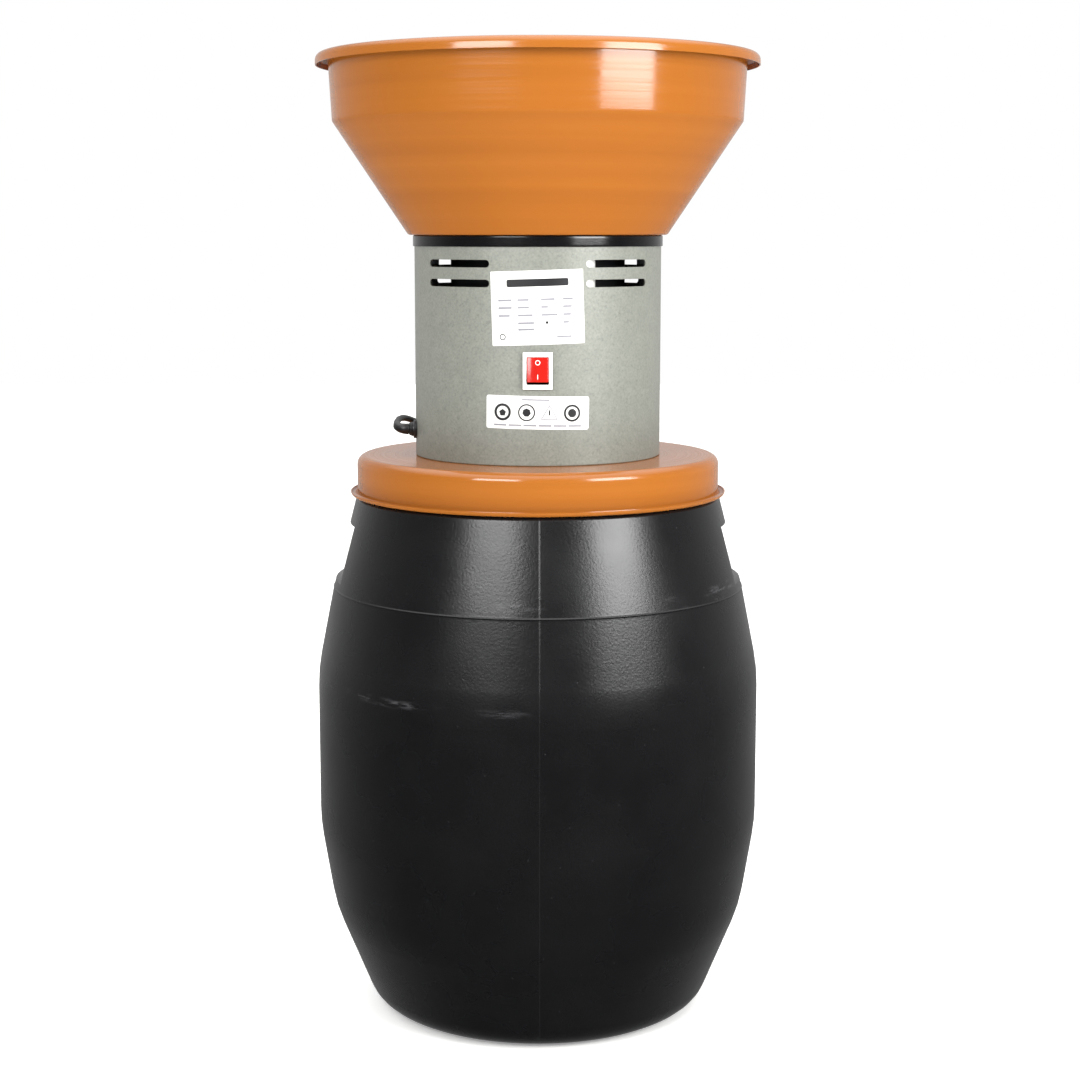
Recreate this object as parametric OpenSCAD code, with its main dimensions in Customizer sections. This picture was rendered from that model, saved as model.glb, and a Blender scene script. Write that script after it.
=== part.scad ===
// Electric grain mill: a hammer mill head with a hopper, standing on an open-top barrel.
// Origin: centre of the barrel's foot ring, on the floor. +Z up, the switch faces -Y.

/* [Barrel] */
// Radius where the flat foot meets the rounded bottom edge
foot_r = 133; // [118:1:145]
// Rounding of the bottom edge
chine_r = 30; // [15:1:36]
// Outer radius at the lower seam
low_seam_r = 192; // [180:1:200]
// Outer radius of the cylindrical belly
belly_r = 205; // [200:1:250]
// Outer radius at the upper seam, where the grips start
top_seam_r = 189.5; // [182:0.5:198]
// Outer radius at the top of the grip band
shoulder_r = 172.3; // [169:0.1:178]
// Outer radius of the neck inside the lid
neck_r = 161; // [150:1:162]
// Height from the floor to the lower seam
bottom_h = 96; // [60:1:120]
// Height of the band between the lower seam and the belly
lower_band_h = 79; // [50:1:100]
// Height of the belly
belly_h = 144; // [100:1:200]
// Height of the band above the belly
upper_band_h = 78; // [50:1:100]
// Height of the band that holds the grips
grip_band_h = 65; // [60:1:90]
// Height of the rounded shoulder under the lid
shoulder_h = 24; // [15:1:40]
// Height of the neck
neck_h = 28; // [20:1:28]
// Width of the flat rim around the mouth
rim_w = 8; // [5:1:12]
// Wall of the blow-moulded barrel
barrel_wall = 3; // [2:0.5:5]
// Depth of each side grip
grip_depth = 5; // [3:0.5:8]
// Half of the angle that a grip spans
grip_half_angle = 17; // [10:1:25]
// Rise of the base inside the foot ring
base_rise = 6; // [3:0.5:12]
// Width of the flat foot ring
foot_w = 14; // [8:1:25]

/* [Lid] */
// Thickness of the steel sheet of the lid and hopper
sheet = 1.2; // [0.8:0.1:2]
// Thickness of the foam gasket on the barrel's rim
gasket_t = 2.8; // [1.5:0.1:4]
// Outer radius of the lid's skirt
lid_r = 166.7; // [165:0.1:176]
// Rounding of the lid's top edge
lid_edge_r = 8; // [4:0.5:12]
// Drop from the lid's top to the middle of its curled lip
skirt_h = 33; // [25:1:40]
// Inside radius of the curled lip
lid_curl_r = 2.6; // [1.5:0.1:4]

/* [Housing] */
// Outer radius of the motor housing
housing_r = 112.5; // [109:0.5:125]
// Height of the housing's sheet above the lid
housing_h = 195; // [190:1:230]
// Width of the flange that the housing stands on
flange_w = 13; // [11:1:16]
// Overlap of the edge trim on the housing's sheet
trim_lap = 5; // [3:0.5:8]
// Thickness of the trim above the sheet
trim_top = 5; // [3:0.5:8]
// Thickness of the trim outside the sheet
trim_side = 1.4; // [1:0.1:3]
// Length of a vent slot around the housing
slot_len = 64; // [40:1:70]
// Width of a vent slot
slot_w = 6.6; // [4:0.1:9]
// Distance between the two rows of slots
slot_pitch = 17; // [12:1:24]
// Angle of each slot group from the front or back
slot_angle = 40; // [35:1:50]

/* [Hopper] */
// Outer radius of the hopper's floor, at its rounded corner
hopper_floor_r = 118; // [114:0.5:122]
// Rounding of the corner between floor and cone
hopper_corner_r = 4; // [2:0.5:8]
// Outer radius where the cone meets the upper wall
hopper_shoulder_r = 185.6; // [150:0.1:190]
// Outer radius of the upper wall at its top
hopper_wall_r = 188.8; // [170:0.1:230]
// Height of the cone
cone_h = 101; // [80:1:130]
// Height of the upper wall, up to the middle of the rolled lip
wall_h = 53.3; // [30:0.1:80]
// Inside radius of the rolled lip
lip_r = 5; // [3:0.5:8]
// Straight drop of the rolled lip's outer edge
lip_drop = 4; // [0:0.5:8]

/* [Feed] */
// Inside radius of the feed chute
chute_r = 12.5; // [8:0.5:13]
// Wall of the feed chute
chute_wall = 1.5; // [1:0.5:2]
// Distance of the chute from the mill's axis
chute_at = 94; // [93:0.5:95]
// Travel of the feed gate
gate_travel = 34; // [30:1:40]

/* [Motor] */
// Outer radius of the motor's body over its fins
motor_r = 78.5; // [60:0.5:78.5]
// Radius of the motor shaft
shaft_r = 8.5; // [6:0.5:10]
// Outer radius of the ball bearings
bearing_r = 20; // [16:0.5:24]
// Radial running clearance of the shaft
run_gap = 0.05; // [0.02:0.01:0.1]
// Radius of the run capacitor
capacitor_r = 14.5; // [10:0.5:14.5]

/* [Mill] */
// Inside radius of the sieve ring
sieve_r = 110; // [108:1:114]
// Height of the grinding chamber
chamber_h = 45; // [42:1:50]
// Radius of the holes in the sieve
sieve_hole_r = 3; // [1.5:0.5:4]
// Number of holes around the sieve
sieve_columns = 36; // [24:1:40]
// Thickness of a hammer
hammer_t = 5; // [3:0.5:6]
// Distance of the hammer pins from the axis
pin_at = 56; // [48:1:58]
// Radius of a hammer pin
pin_r = 4; // [3:0.5:5]
// Clearance between the hammer tips and the sieve
tip_gap = 8; // [4:0.5:12]

/* [Switch] */
// Width of the switch's frame
frame_w = 26; // [24:0.5:30]
// Height of the switch's frame
frame_h = 32.5; // [30:0.5:36]
// Width of the rocker
rocker_w = 18.8; // [16:0.1:20]
// Height of the rocker
rocker_h = 22.7; // [20:0.1:26]
// Height of the switch above the lid
switch_at = 83.5; // [60:0.5:95]
// Tilt of the rocker to each side
rocker_tilt = 8; // [5:1:10]

/* [Cord] */
// Radius of the power cord
cord_r = 3; // [3:0.1:3]
// Height of the cable gland above the lid
gland_at = 24; // [24:1:24]

/* [Hidden] */
$fn = 96;
ARC_STEPS = 8;
EPS = 0.01;
ASIDE = 0.3; // gap between curved faces of neighbours

// Heights of the barrel's seams above the floor
seam_1 = bottom_h;
seam_2 = seam_1 + lower_band_h;
seam_3 = seam_2 + belly_h;
seam_4 = seam_3 + upper_band_h;
shoulder_z = seam_4 + grip_band_h;
neck_z = shoulder_z + shoulder_h;
barrel_h = neck_z + neck_h;
lid_z = barrel_h + gasket_t + sheet;
lid_under = lid_z - sheet;
trim_z = lid_z + housing_h;
hopper_z = trim_z + trim_top;
housing_in = housing_r - sheet;

// Grip pocket: margins to the band's edges
grip_low = seam_4 + 7;
grip_high = shoulder_z - 6;

// Screws
m4 = 2;
m6 = 3;
m8 = 4;
bolt_slack = 0.25;

// Hopper fixings
bracket_t = 1.5;
bracket_drop = 7;
bracket_z = trim_z - bracket_drop - bracket_t;
hopper_bolt_at = 97;
hopper_bolt_angles = [25, 155, 270];
spacer_r = 7;

// Feed parts
chute_out = chute_r + chute_wall;
chute_flange_r = chute_out + 7;
gate_t = 2;
gate_w = 2 * chute_out + 6;
gate_len = 2 * chute_out + 8;
guide_h = gate_t + ASIDE;

// Motor stack
shield_t = 18;
can_h = 110;
upper_shield_t = 12;
can_wall = 4;
fin_h = 2.5;
fin_n = 24;
cowl_t = 1.2;
cowl_lap = 8;
cowl_over = 56;
can_z = lid_z + shield_t;
upper_shield_z = can_z + can_h;
cowl_z = upper_shield_z + upper_shield_t - cowl_lap;
cowl_top = cowl_z + cowl_over;
cowl_screw_z = cowl_z + cowl_lap / 2;
cowl_out = motor_r + 1;
core_h = 78;
core_z = can_z + (can_h - core_h) / 2;
winding_h = 12;
air_gap = 0.6;
rotor_core_r = 38;
bearing_t = 12;
shaft_top = cowl_z + 30;
can_r = motor_r - fin_h;
through_at = can_r - can_wall / 2;
bolt_ring = 55;

// Mill stack, downwards from the lid
plate_t = 6;
plate_r = pin_at + 10;
spacer_h = 14;
plate_z = lid_under - spacer_h - plate_t;
hammer_z = plate_z - ASIDE - hammer_t;
hammer_w = 22;
hammer_tail = 9;
hammer_len = sieve_r - tip_gap - pin_at;
pin_head_t = 3;
seal_r = 17;
sieve_t = 1.5;
sieve_out = sieve_r + sieve_t;
sieve_rows = 3;
cover_t = 2;
cover_z = lid_under - chamber_h - cover_t;
cover_r = sieve_out + 4;
stud_at = sieve_out + m8 + 6.5;
stud_drop = chamber_h + cover_t + 14;
stud_angles = [30, 150, 270];

// Labels
label_t = 0.3;
plate_w = 82;
plate_h = 64;
plate_up = 138;
plate_turn = 1.8;
safety_w = 92;
safety_h = 29;
safety_up = 47;
safety_turn = -1;

// Switch
frame_t = 2.4;
frame_corner = 1.5;
body_depth = 24;
body_wall = 1.2;
window_w = rocker_w + 2 * ASIDE;
window_h = rocker_h + 2 * ASIDE + 0.6;
pivot_r = 1.5;
pivot_back = 4;
switch_z = lid_z + switch_at;
front_y = -housing_r - 0.1;

// Gland
gland_angle = 188;
gland_z = lid_z + gland_at;
gland_flange_r = 8.5;
gland_flange_t = 2.5;
gland_nose = 4.5;
gland_thread_r = 6;
gland_thread = 12;

// Route of the free cord: round the back of the housing, over the lid's edge, down to the floor
CORD_ROUTE = [
    [-118.3, -16.6, 542], [-123, -17, 542.4], [-128, -13, 543.5], [-130, -5, 545],
    [-130.5, 8, 546.5], [-129, 22, 548], [-124, 38, 547], [-114, 56, 541],
    [-101, 74, 532], [-88, 90, 524], [-76, 105, 521.3], [-67, 120, 521.3],
    [-62, 134, 521.3], [-62, 146, 521.3], [-64, 152, 519.5], [-66, 156, 514],
    [-67.5, 159, 505], [-69, 163, 494], [-70, 165, 482], [-73, 171, 450],
    [-76, 179, 398], [-82, 193, 318], [-82, 193, 230], [-82, 193, 140],
    [-82, 193, 60], [-81, 193, 36], [-74, 194, 15], [-60, 196, 5],
    [-44, 199, 3.7], [-30, 201, 3.7], [-16, 202, 3.7]
];
// The coil: turns in two layers, which spiral in on the lower one and out again on the upper one
COIL_AT = [-10, 240, 0.6];
COIL_TURN_R = 37.8;
COIL_PITCH = 6.2;
COIL_DIP = 2.1;
COIL_OUT = COIL_TURN_R + COIL_PITCH / 2;
COIL_IN = COIL_OUT - 3 * COIL_PITCH - COIL_DIP;
COIL_H = 2 * COIL_PITCH;
CORD_TAIL = [[-2, 202, 9.9], [12, 201, 10], [26, 202, 13], [40, 204, 17], [50, 205, 18.5], [60, 205, 18.5]];
PLUG_AT = [60, 205, 18.5];
plug_r = 18.3;
plug_len = 40;
plug_neck = 12;
plug_pin_r = 2.4;
plug_pin_len = 19;
plug_pin_gap = 19;

// Leads inside the housing
SUPPLY_LEAD = [
    [-118.3, -16.6, 542], [-105, -14.8, 542], [-97, -15, 542], [-92, -21, 544],
    [-87, -34, 550], [-76, -52, 559], [-59, -69, 570], [-38, -81, 583],
    [-22, -85.5, 598], [-13, -84.6, 608.5], [-5.4, -84.6, 608.5]
];
MOTOR_LEAD = [
    [5.4, -84.6, 594.5], [13, -84.6, 594.5], [26, -84.5, 594], [40, -77.5, 597],
    [52, -72, 601], [54, -70, 606], [46.3, -60.3, 608]
];
lead_r = 2.4;

// ---- outlines ----

function unit(v) = v / norm(v);
function left_of(v) = [-v[1], v[0]];
function reversed(p) = [for (i = [len(p) - 1:-1:0]) p[i]];
function arc(centre, r, from, to) = [
    for (i = [0:ARC_STEPS])
        let (a = from + (to - from) * i / ARC_STEPS) centre + r * [cos(a), sin(a)]
];
// The point p[i] moved t to the left of the line p, along the mitre
function beside(p, i, t) =
    let (
        before = i == 0 ? p[1] - p[0] : p[i] - p[i - 1],
        after = i == len(p) - 1 ? before : p[i + 1] - p[i],
        n1 = left_of(unit(before)),
        n2 = left_of(unit(after))
    ) p[i] + t * (n1 + n2) / (1 + n1 * n2);
function side_line(p, t) = [for (i = [0:len(p) - 1]) beside(p, i, t)];
// Closed outline of a sheet of thickness t to the left of the line p
function sheet_outline(p, t) = concat(p, reversed(side_line(p, t)));

module turned(p) {
    rotate_extrude() polygon(p);
}

module ring(r_in, r_out, z, h) {
    translate([0, 0, z]) difference() {
        cylinder(r = r_out, h = h);
        translate([0, 0, -1]) cylinder(r = r_in, h = h + 2);
    }
}

module around(angles, at) {
    for (a = angles) rotate(a) translate([at, 0, 0]) children();
}

function evenly(n, first = 0) = [for (i = [0:n - 1]) first + i * 360 / n];

// ---- swept cords ----

function spline_at(p, i, t) =
    let (
        a = p[max(i - 1, 0)], b = p[i], c = p[i + 1], d = p[min(i + 2, len(p) - 1)]
    ) 0.5 * ((2 * b) + (c - a) * t + (2 * a - 5 * b + 4 * c - d) * t * t
        + (3 * b - a - 3 * c + d) * t * t * t);
function smooth(p, steps) = concat(
    [for (i = [0:len(p) - 2]) for (k = [0:steps - 1]) spline_at(p, i, k / steps)],
    [p[len(p) - 1]]
);
function heading(p, i) = unit(p[min(i + 1, len(p) - 1)] - p[max(i - 1, 0)]);
// A frame carried along the line, so that the tube doesn't twist
function carried(p, i, n) = let (h = heading(p, i), m = n - (n * h) * h) unit(m);
function normals(p, i = 0, n = [0, 0.1, 1]) =
    let (m = carried(p, i, n)) i == len(p) - 1 ? [m] : concat([m], normals(p, i + 1, m));

module tube(p, r, sides = 8) {
    ups = normals(p);
    points = [
        for (i = [0:len(p) - 1])
            let (u = ups[i], v = cross(heading(p, i), u))
                for (k = [0:sides - 1])
                    p[i] + r * (cos(k * 360 / sides) * u + sin(k * 360 / sides) * v)
    ];
    skin = [
        for (i = [0:len(p) - 2])
            for (k = [0:sides - 1])
                let (a = i * sides + k, b = i * sides + (k + 1) % sides)
                    [a, a + sides, b + sides, b]
    ];
    first = [for (k = [0:sides - 1]) k];
    last = [for (k = [sides - 1:-1:0]) (len(p) - 1) * sides + k];
    polyhedron(points = points, faces = concat([first], skin, [last]));
}

// ---- barrel ----

function band_r(z) = top_seam_r + (shoulder_r - top_seam_r) * (z - seam_4) / grip_band_h;
function band_line(z1, z2) = [[band_r(z1), z1], [band_r(z2), z2]];

function barrel_line() =
    let (slope = atan2(low_seam_r - foot_r - chine_r, seam_1 - chine_r))
        concat(
            [[0, base_rise], [foot_r - foot_w - base_rise, base_rise], [foot_r - foot_w, 0]],
            arc([foot_r, chine_r], chine_r, -90, -slope),
            [
                [low_seam_r, seam_1], [belly_r, seam_2], [belly_r, seam_3],
                [top_seam_r, seam_4], [shoulder_r, shoulder_z],
                [(shoulder_r + neck_r) / 2 + 1.5, neck_z - shoulder_h / 3],
                [neck_r, neck_z], [neck_r, barrel_h], [neck_r - rim_w, barrel_h]
            ]
        );

module grip_sector(z1, z2, outer, inner, half_angle) {
    for (side = [0, 180]) rotate(side - half_angle)
        rotate_extrude(angle = 2 * half_angle)
            polygon(concat(
                side_line(band_line(z1, z2), -outer),
                reversed(side_line(band_line(z1, z2), inner))
            ));
}

module barrel() {
    wall_angle = barrel_wall * 180 / (PI * shoulder_r);
    color("#1c1c20") difference() {
        union() {
            turned(sheet_outline(barrel_line(), barrel_wall));
            grip_sector(
                grip_low - barrel_wall, grip_high + barrel_wall,
                -EPS, grip_depth + barrel_wall, grip_half_angle + wall_angle
            );
        }
        grip_sector(grip_low, grip_high, 2, grip_depth, grip_half_angle);
    }
}

// ---- lid ----

module lid_gasket() {
    color("#3a3a3a") ring(neck_r - rim_w, lid_r - lid_edge_r, barrel_h, gasket_t);
}

function lid_line() = concat(
    [[0, lid_z]],
    arc([lid_r - lid_edge_r, lid_z - lid_edge_r], lid_edge_r, 90, 0),
    arc([lid_r + lid_curl_r, lid_z - skirt_h], lid_curl_r, 180, 360)
);

rivet_at = housing_in - flange_w / 2;
rivet_angles = [0, 60, 120, 180, 240, 300];

module lid() {
    color("#e0731c") difference() {
        turned(sheet_outline(lid_line(), -sheet));
        translate([0, 0, lid_under - 1]) {
            cylinder(r = seal_r, h = sheet + 2);
            translate([0, chute_at, 0]) cylinder(r = chute_r, h = sheet + 2);
            around(rivet_angles, rivet_at) cylinder(r = m4, h = sheet + 2);
            around(evenly(4, 45), bolt_ring) cylinder(r = m6 + bolt_slack, h = sheet + 2);
        }
    }
}

// ---- housing ----

module housing_slot(z) {
    half = slot_len * 90 / (PI * housing_r);
    translate([0, 0, z]) {
        rotate(-half) rotate_extrude(angle = 2 * half)
            translate([housing_in - 3, -slot_w / 2]) square([sheet + 6, slot_w]);
        for (a = [-half, half]) rotate(a) translate([housing_in - 3, 0, 0])
            rotate([0, 90, 0]) cylinder(r = slot_w / 2, h = sheet + 6);
    }
}

slot_z = lid_z + 158.5;

module housing_shell() {
    color("#a3a69c") difference() {
        turned(sheet_outline(
            [[housing_r - flange_w, lid_z], [housing_r, lid_z], [housing_r, trim_z]], sheet
        ));
        for (side = [90, 270]) for (turn = [-slot_angle, slot_angle]) rotate(side + turn)
            for (row = [0, 1]) housing_slot(slot_z + row * slot_pitch);
        translate([0, 0, lid_z - 1]) {
            around(rivet_angles, rivet_at) cylinder(r = m4, h = sheet + 2);
            translate([0, chute_at, 0]) cylinder(r = chute_out + ASIDE, h = sheet + 2);
        }
        translate([0, -housing_r, switch_z])
            cube([window_w + 2 * body_wall + 0.6, 20, window_h + 2 * body_wall + 0.6], center = true);
        rotate(gland_angle) translate([housing_r - 6, 0, gland_z])
            rotate([0, 90, 0]) cylinder(r = gland_thread_r + bolt_slack, h = 12);
    }
}

module housing_rivets() {
    color("silver") around(rivet_angles, rivet_at) {
        translate([0, 0, lid_under - 1.5]) cylinder(r = 1.7 * m4, h = 1.5);
        translate([0, 0, lid_under]) cylinder(r = m4, h = 2 * sheet);
        translate([0, 0, lid_z + sheet]) cylinder(r = 2 * m4, h = 1.6);
    }
}

module edge_trim() {
    mid = 1;
    outer = housing_r + trim_side;
    inner = housing_in - trim_side;
    base = trim_z - trim_lap;
    color("#202124") turned([
        [inner, base], [housing_in, base], [housing_in, trim_z], [housing_r, trim_z],
        [housing_r, base], [outer, base], [outer, hopper_z - mid], [outer - mid, hopper_z],
        [inner + mid, hopper_z], [inner, hopper_z - mid]
    ]);
}

// ---- hopper and feed ----

function hopper_line() =
    let (slope = atan2(hopper_shoulder_r - hopper_floor_r, cone_h))
        concat(
            [[0, hopper_z]],
            arc(
                [hopper_floor_r - hopper_corner_r, hopper_z + hopper_corner_r],
                hopper_corner_r, -90, -slope
            ),
            [[hopper_shoulder_r, hopper_z + cone_h]],
            arc([hopper_wall_r + lip_r, hopper_z + cone_h + wall_h], lip_r, 180, 0),
            [[hopper_wall_r + 2 * lip_r, hopper_z + cone_h + wall_h - lip_drop]]
        );

module hopper() {
    color("#e0731c") difference() {
        turned(sheet_outline(hopper_line(), sheet));
        translate([0, 0, hopper_z - 1]) {
            translate([0, chute_at, 0]) cylinder(r = chute_r, h = sheet + 2);
            around(hopper_bolt_angles, hopper_bolt_at)
                cylinder(r = m6 + bolt_slack, h = sheet + 2);
            rivet_places() cylinder(r = m4, h = sheet + 2);
        }
    }
}

module hopper_brackets() {
    span = 14;
    leg_in = hopper_bolt_at - 10;
    color("silver") for (a = hopper_bolt_angles) difference() {
        rotate(a - span / 2) rotate_extrude(angle = span) polygon([
            [leg_in, bracket_z], [housing_in - bracket_t, bracket_z],
            [housing_in - bracket_t, bracket_z - 14], [housing_in, bracket_z - 14],
            [housing_in, bracket_z + bracket_t], [leg_in, bracket_z + bracket_t]
        ]);
        rotate(a) translate([hopper_bolt_at, 0, bracket_z - 1])
            cylinder(r = m6 + bolt_slack, h = bracket_t + 2);
    }
}

module hopper_spacers() {
    low = bracket_z + bracket_t;
    color("#2b2b2b") around(hopper_bolt_angles, hopper_bolt_at)
        ring(m6 + bolt_slack, spacer_r, low, hopper_z - low);
}

module hopper_bolts() {
    top = hopper_z + sheet;
    low = bracket_z - 8;
    color("silver") around(hopper_bolt_angles, hopper_bolt_at) {
        translate([0, 0, low]) cylinder(r = m6, h = top - low);
        translate([0, 0, top]) cylinder(r = 2 * m6, h = 2);
        translate([0, 0, top + 2]) cylinder(r = 1.7 * m6, h = 3, $fn = 6);
    }
}

module hopper_nuts() {
    color("silver") around(hopper_bolt_angles, hopper_bolt_at) translate([0, 0, bracket_z - 5])
        difference() {
            cylinder(r = 1.85 * m6, h = 5, $fn = 6);
            translate([0, 0, -1]) cylinder(r = m6, h = 7, $fn = 48);
        }
}

module feed_chute() {
    color("#b9bcbe") translate([0, chute_at, 0]) {
        ring(chute_r, chute_out, lid_z, hopper_z - lid_z - bracket_t);
        ring(chute_r, chute_out + 1.5, hopper_z - bracket_t, bracket_t);
    }
}

// The gate slides towards the mill's axis between two guide rails on the hopper's floor
guide_len = gate_len + gate_travel;
guide_end = chute_at + gate_len / 2;
rail_w = 5;
rail_in = gate_w / 2 + ASIDE;

module rivet_places() {
    for (side = [-1, 1]) for (end = [guide_end - 26, guide_end - guide_len + 6])
        translate([side * (rail_in + rail_w / 2), end, 0]) children();
}

module gate_guides() {
    lip = 3;
    color("#b9bcbe") difference() {
        for (side = [-1, 1]) translate([0, guide_end - guide_len, hopper_z + sheet]) {
            translate([side > 0 ? rail_in : -rail_in - rail_w, 0, 0])
                cube([rail_w, guide_len - 20, guide_h]);
            translate([side > 0 ? rail_in - lip : -rail_in - rail_w, 0, guide_h])
                cube([rail_w + lip, guide_len - 20, 1.2]);
        }
        rivet_places() translate([0, 0, hopper_z]) cylinder(r = m4, h = 10);
    }
}

module guide_rivets() {
    top = hopper_z + sheet + guide_h + 1.2;
    color("silver") rivet_places() {
        translate([0, 0, hopper_z - 1.5]) cylinder(r = m4, h = top - hopper_z + 1.5);
        translate([0, 0, top]) cylinder(r = 1.8 * m4, h = 1.4);
        translate([0, 0, hopper_z - 1.5]) cylinder(r = 1.6 * m4, h = 1.5);
    }
}

tab_h = 16;
module feed_gate() {
    low = hopper_z + sheet;
    color("#c9ccce") difference() {
        translate([0, 0, low]) {
            translate([0, chute_at, 0]) cylinder(r = gate_w / 2, h = gate_t);
            translate([-gate_w / 2, chute_at - gate_len / 2, 0])
                cube([gate_w, gate_len / 2, gate_t]);
            translate([-8, chute_at - gate_len / 2, 0]) cube([16, gate_t, tab_h]);
        }
        translate([0, chute_at - gate_len / 2 - 1, low + tab_h - 6])
            rotate([-90, 0, 0]) cylinder(r = m4, h = gate_t + 2, $fn = 48);
    }
}

module gate_knob() {
    y = chute_at - gate_len / 2;
    color("#202124") translate([0, y, hopper_z + sheet + tab_h - 6]) rotate([90, 0, 0]) {
        cylinder(r = 7, h = 9);
        translate([0, 0, 9]) cylinder(r1 = 7, r2 = 5, h = 2);
        translate([0, 0, -gate_t - 3]) cylinder(r = m4, h = gate_t + 3 + EPS);
    }
}

// ---- motor ----

module lower_end_shield() {
    color("#8f9498") difference() {
        union() {
            translate([0, 0, lid_z]) cylinder(r = can_r, h = shield_t);
            translate([0, 0, can_z]) cylinder(r = can_r - can_wall, h = 3);
        }
        translate([0, 0, lid_z - 1]) cylinder(r = seal_r + 1, h = shield_t + 5);
        translate([0, 0, can_z + 3 - bearing_t]) cylinder(r = bearing_r, h = bearing_t + 1);
        around(evenly(4, 45), bolt_ring) translate([0, 0, lid_z - 1]) cylinder(r = m6, h = 13);
    }
}

module motor_can() {
    color("#17181a") union() {
        ring(can_r - can_wall, can_r, can_z, can_h);
        around(evenly(fin_n), can_r - 1) translate([0, -1, can_z + 4])
            cube([fin_h + 1, 2, can_h - 12]);
    }
}

module stator_core() {
    color("#8a8178") ring(rotor_core_r + air_gap, can_r - can_wall, core_z, core_h);
}

module stator_windings() {
    color("#b4662a") for (z = [core_z - winding_h, core_z + core_h])
        ring(rotor_core_r + 5, can_r - can_wall - 6, z, winding_h);
}

module upper_end_shield() {
    z = upper_shield_z;
    color("#8f9498") difference() {
        union() {
            translate([0, 0, z]) cylinder(r = can_r, h = upper_shield_t);
            translate([0, 0, z - 3]) cylinder(r = can_r - can_wall, h = 3);
        }
        translate([0, 0, z - 4]) cylinder(r = shaft_r + 3, h = upper_shield_t + 5);
        translate([0, 0, z - 4]) cylinder(r = bearing_r, h = bearing_t + 1);
        around(evenly(3), can_r - 4) translate([0, 0, cowl_screw_z])
            rotate([0, 90, 0]) cylinder(r = m4, h = 5, $fn = 48);
    }
}

module bearing(z) {
    color("#c5c8ca") ring(shaft_r + run_gap, bearing_r, z, bearing_t);
}

module lower_bearing() {
    bearing(can_z + 3 - bearing_t);
}

module upper_bearing() {
    bearing(upper_shield_z - 3);
}

module motor_shaft() {
    tip = plate_z;
    color("#9ea2a5") difference() {
        translate([0, 0, tip]) cylinder(r = shaft_r, h = shaft_top - tip);
        translate([0, 0, tip - 1]) cylinder(r = m8, h = 21, $fn = 48);
    }
}

module rotor_core() {
    color("#70757a") ring(shaft_r, rotor_core_r, core_z + 1, core_h - 2);
}

module cooling_fan() {
    base = upper_shield_z + upper_shield_t + 4;
    color("#2a2a2c") union() {
        ring(shaft_r, 14, base, 14);
        ring(13, 58, base, 2);
        around(evenly(8), 13) translate([0, -1, base]) cube([45, 2, 14]);
    }
}

module fan_cowl() {
    color("#141517") difference() {
        turned(sheet_outline(
            concat([[0, cowl_top]], arc([cowl_out - 5, cowl_top - 5], 5, 90, 0), [[cowl_out, cowl_z]]),
            -cowl_t
        ));
        for (at = [22, 36, 50]) around(evenly(at / 2 + 1), at)
            translate([0, 0, cowl_top - cowl_t - 1]) cylinder(r = 3, h = cowl_t + 2, $fn = 24);
        around(evenly(3), cowl_out - 4) translate([0, 0, cowl_screw_z])
            rotate([0, 90, 0]) cylinder(r = m4, h = 6, $fn = 48);
    }
}

module cowl_screws() {
    color("silver") around(evenly(3), 0) translate([0, 0, cowl_screw_z]) rotate([0, 90, 0]) {
        translate([0, 0, can_r - 4]) cylinder(r = m4, h = cowl_out - can_r + 4, $fn = 48);
        translate([0, 0, cowl_out]) cylinder(r = 3.5, h = 2, $fn = 48);
    }
}

module motor_bolts() {
    color("silver") around(evenly(4, 45), bolt_ring) {
        translate([0, 0, lid_under]) cylinder(r = m6, h = 12);
        translate([0, 0, lid_under - 3]) cylinder(r = 5.5, h = 3);
    }
}

// The capacitor stands beside the fan cowl, held by a band that is screwed to the cowl
capacitor_angle = 292;
clip_t = 1;
capacitor_at = cowl_out + ASIDE + clip_t + capacitor_r;
capacitor_z = cowl_top - 62;

module capacitor() {
    color("#f2f2ee") rotate(capacitor_angle) translate([capacitor_at, 0, capacitor_z]) {
        cylinder(r = capacitor_r, h = 60);
        translate([0, 0, -4]) cylinder(r = 4, h = 4);
        translate([0, 0, 60]) cylinder(r1 = capacitor_r - 1, r2 = capacitor_r - 3, h = 2);
    }
}

module capacitor_clip() {
    z = capacitor_z + 14;
    color("#26272a") rotate(capacitor_angle) {
        translate([capacitor_at, 0, 0]) ring(capacitor_r, capacitor_r + clip_t, z, 12);
        difference() {
            translate([cowl_out - 2, -9, z]) cube([capacitor_r, 18, 12]);
            translate([0, 0, z - 1]) cylinder(r = cowl_out + 0.05, h = 14);
            translate([capacitor_at, 0, z - 1]) cylinder(r = capacitor_r, h = 14);
        }
    }
}

module shaft_seal() {
    color("#d8d2c0") ring(shaft_r + run_gap, seal_r, lid_under, sheet + 4);
}

// ---- mill rotor ----

module rotor_spacer() {
    color("#9ea2a5") ring(shaft_r, shaft_r + 5, plate_z + plate_t, spacer_h - 1);
}

module rotor_plate() {
    color("#6d7276") difference() {
        translate([0, 0, plate_z]) cylinder(r = plate_r, h = plate_t);
        translate([0, 0, plate_z - 1]) cylinder(r = shaft_r, h = plate_t + 2);
        around(evenly(4), pin_at) translate([0, 0, plate_z - 1]) cylinder(r = pin_r, h = plate_t + 2);
    }
}

module hammer_pins() {
    low = hammer_z - ASIDE - pin_head_t;
    color("#b5b9bc") around(evenly(4), pin_at) {
        translate([0, 0, low]) cylinder(r = pin_r, h = plate_z + plate_t - low);
        translate([0, 0, low]) cylinder(r = pin_r + 3, h = pin_head_t);
        translate([0, 0, plate_z + plate_t]) cylinder(r = pin_r + 2, h = 2);
    }
}

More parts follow.
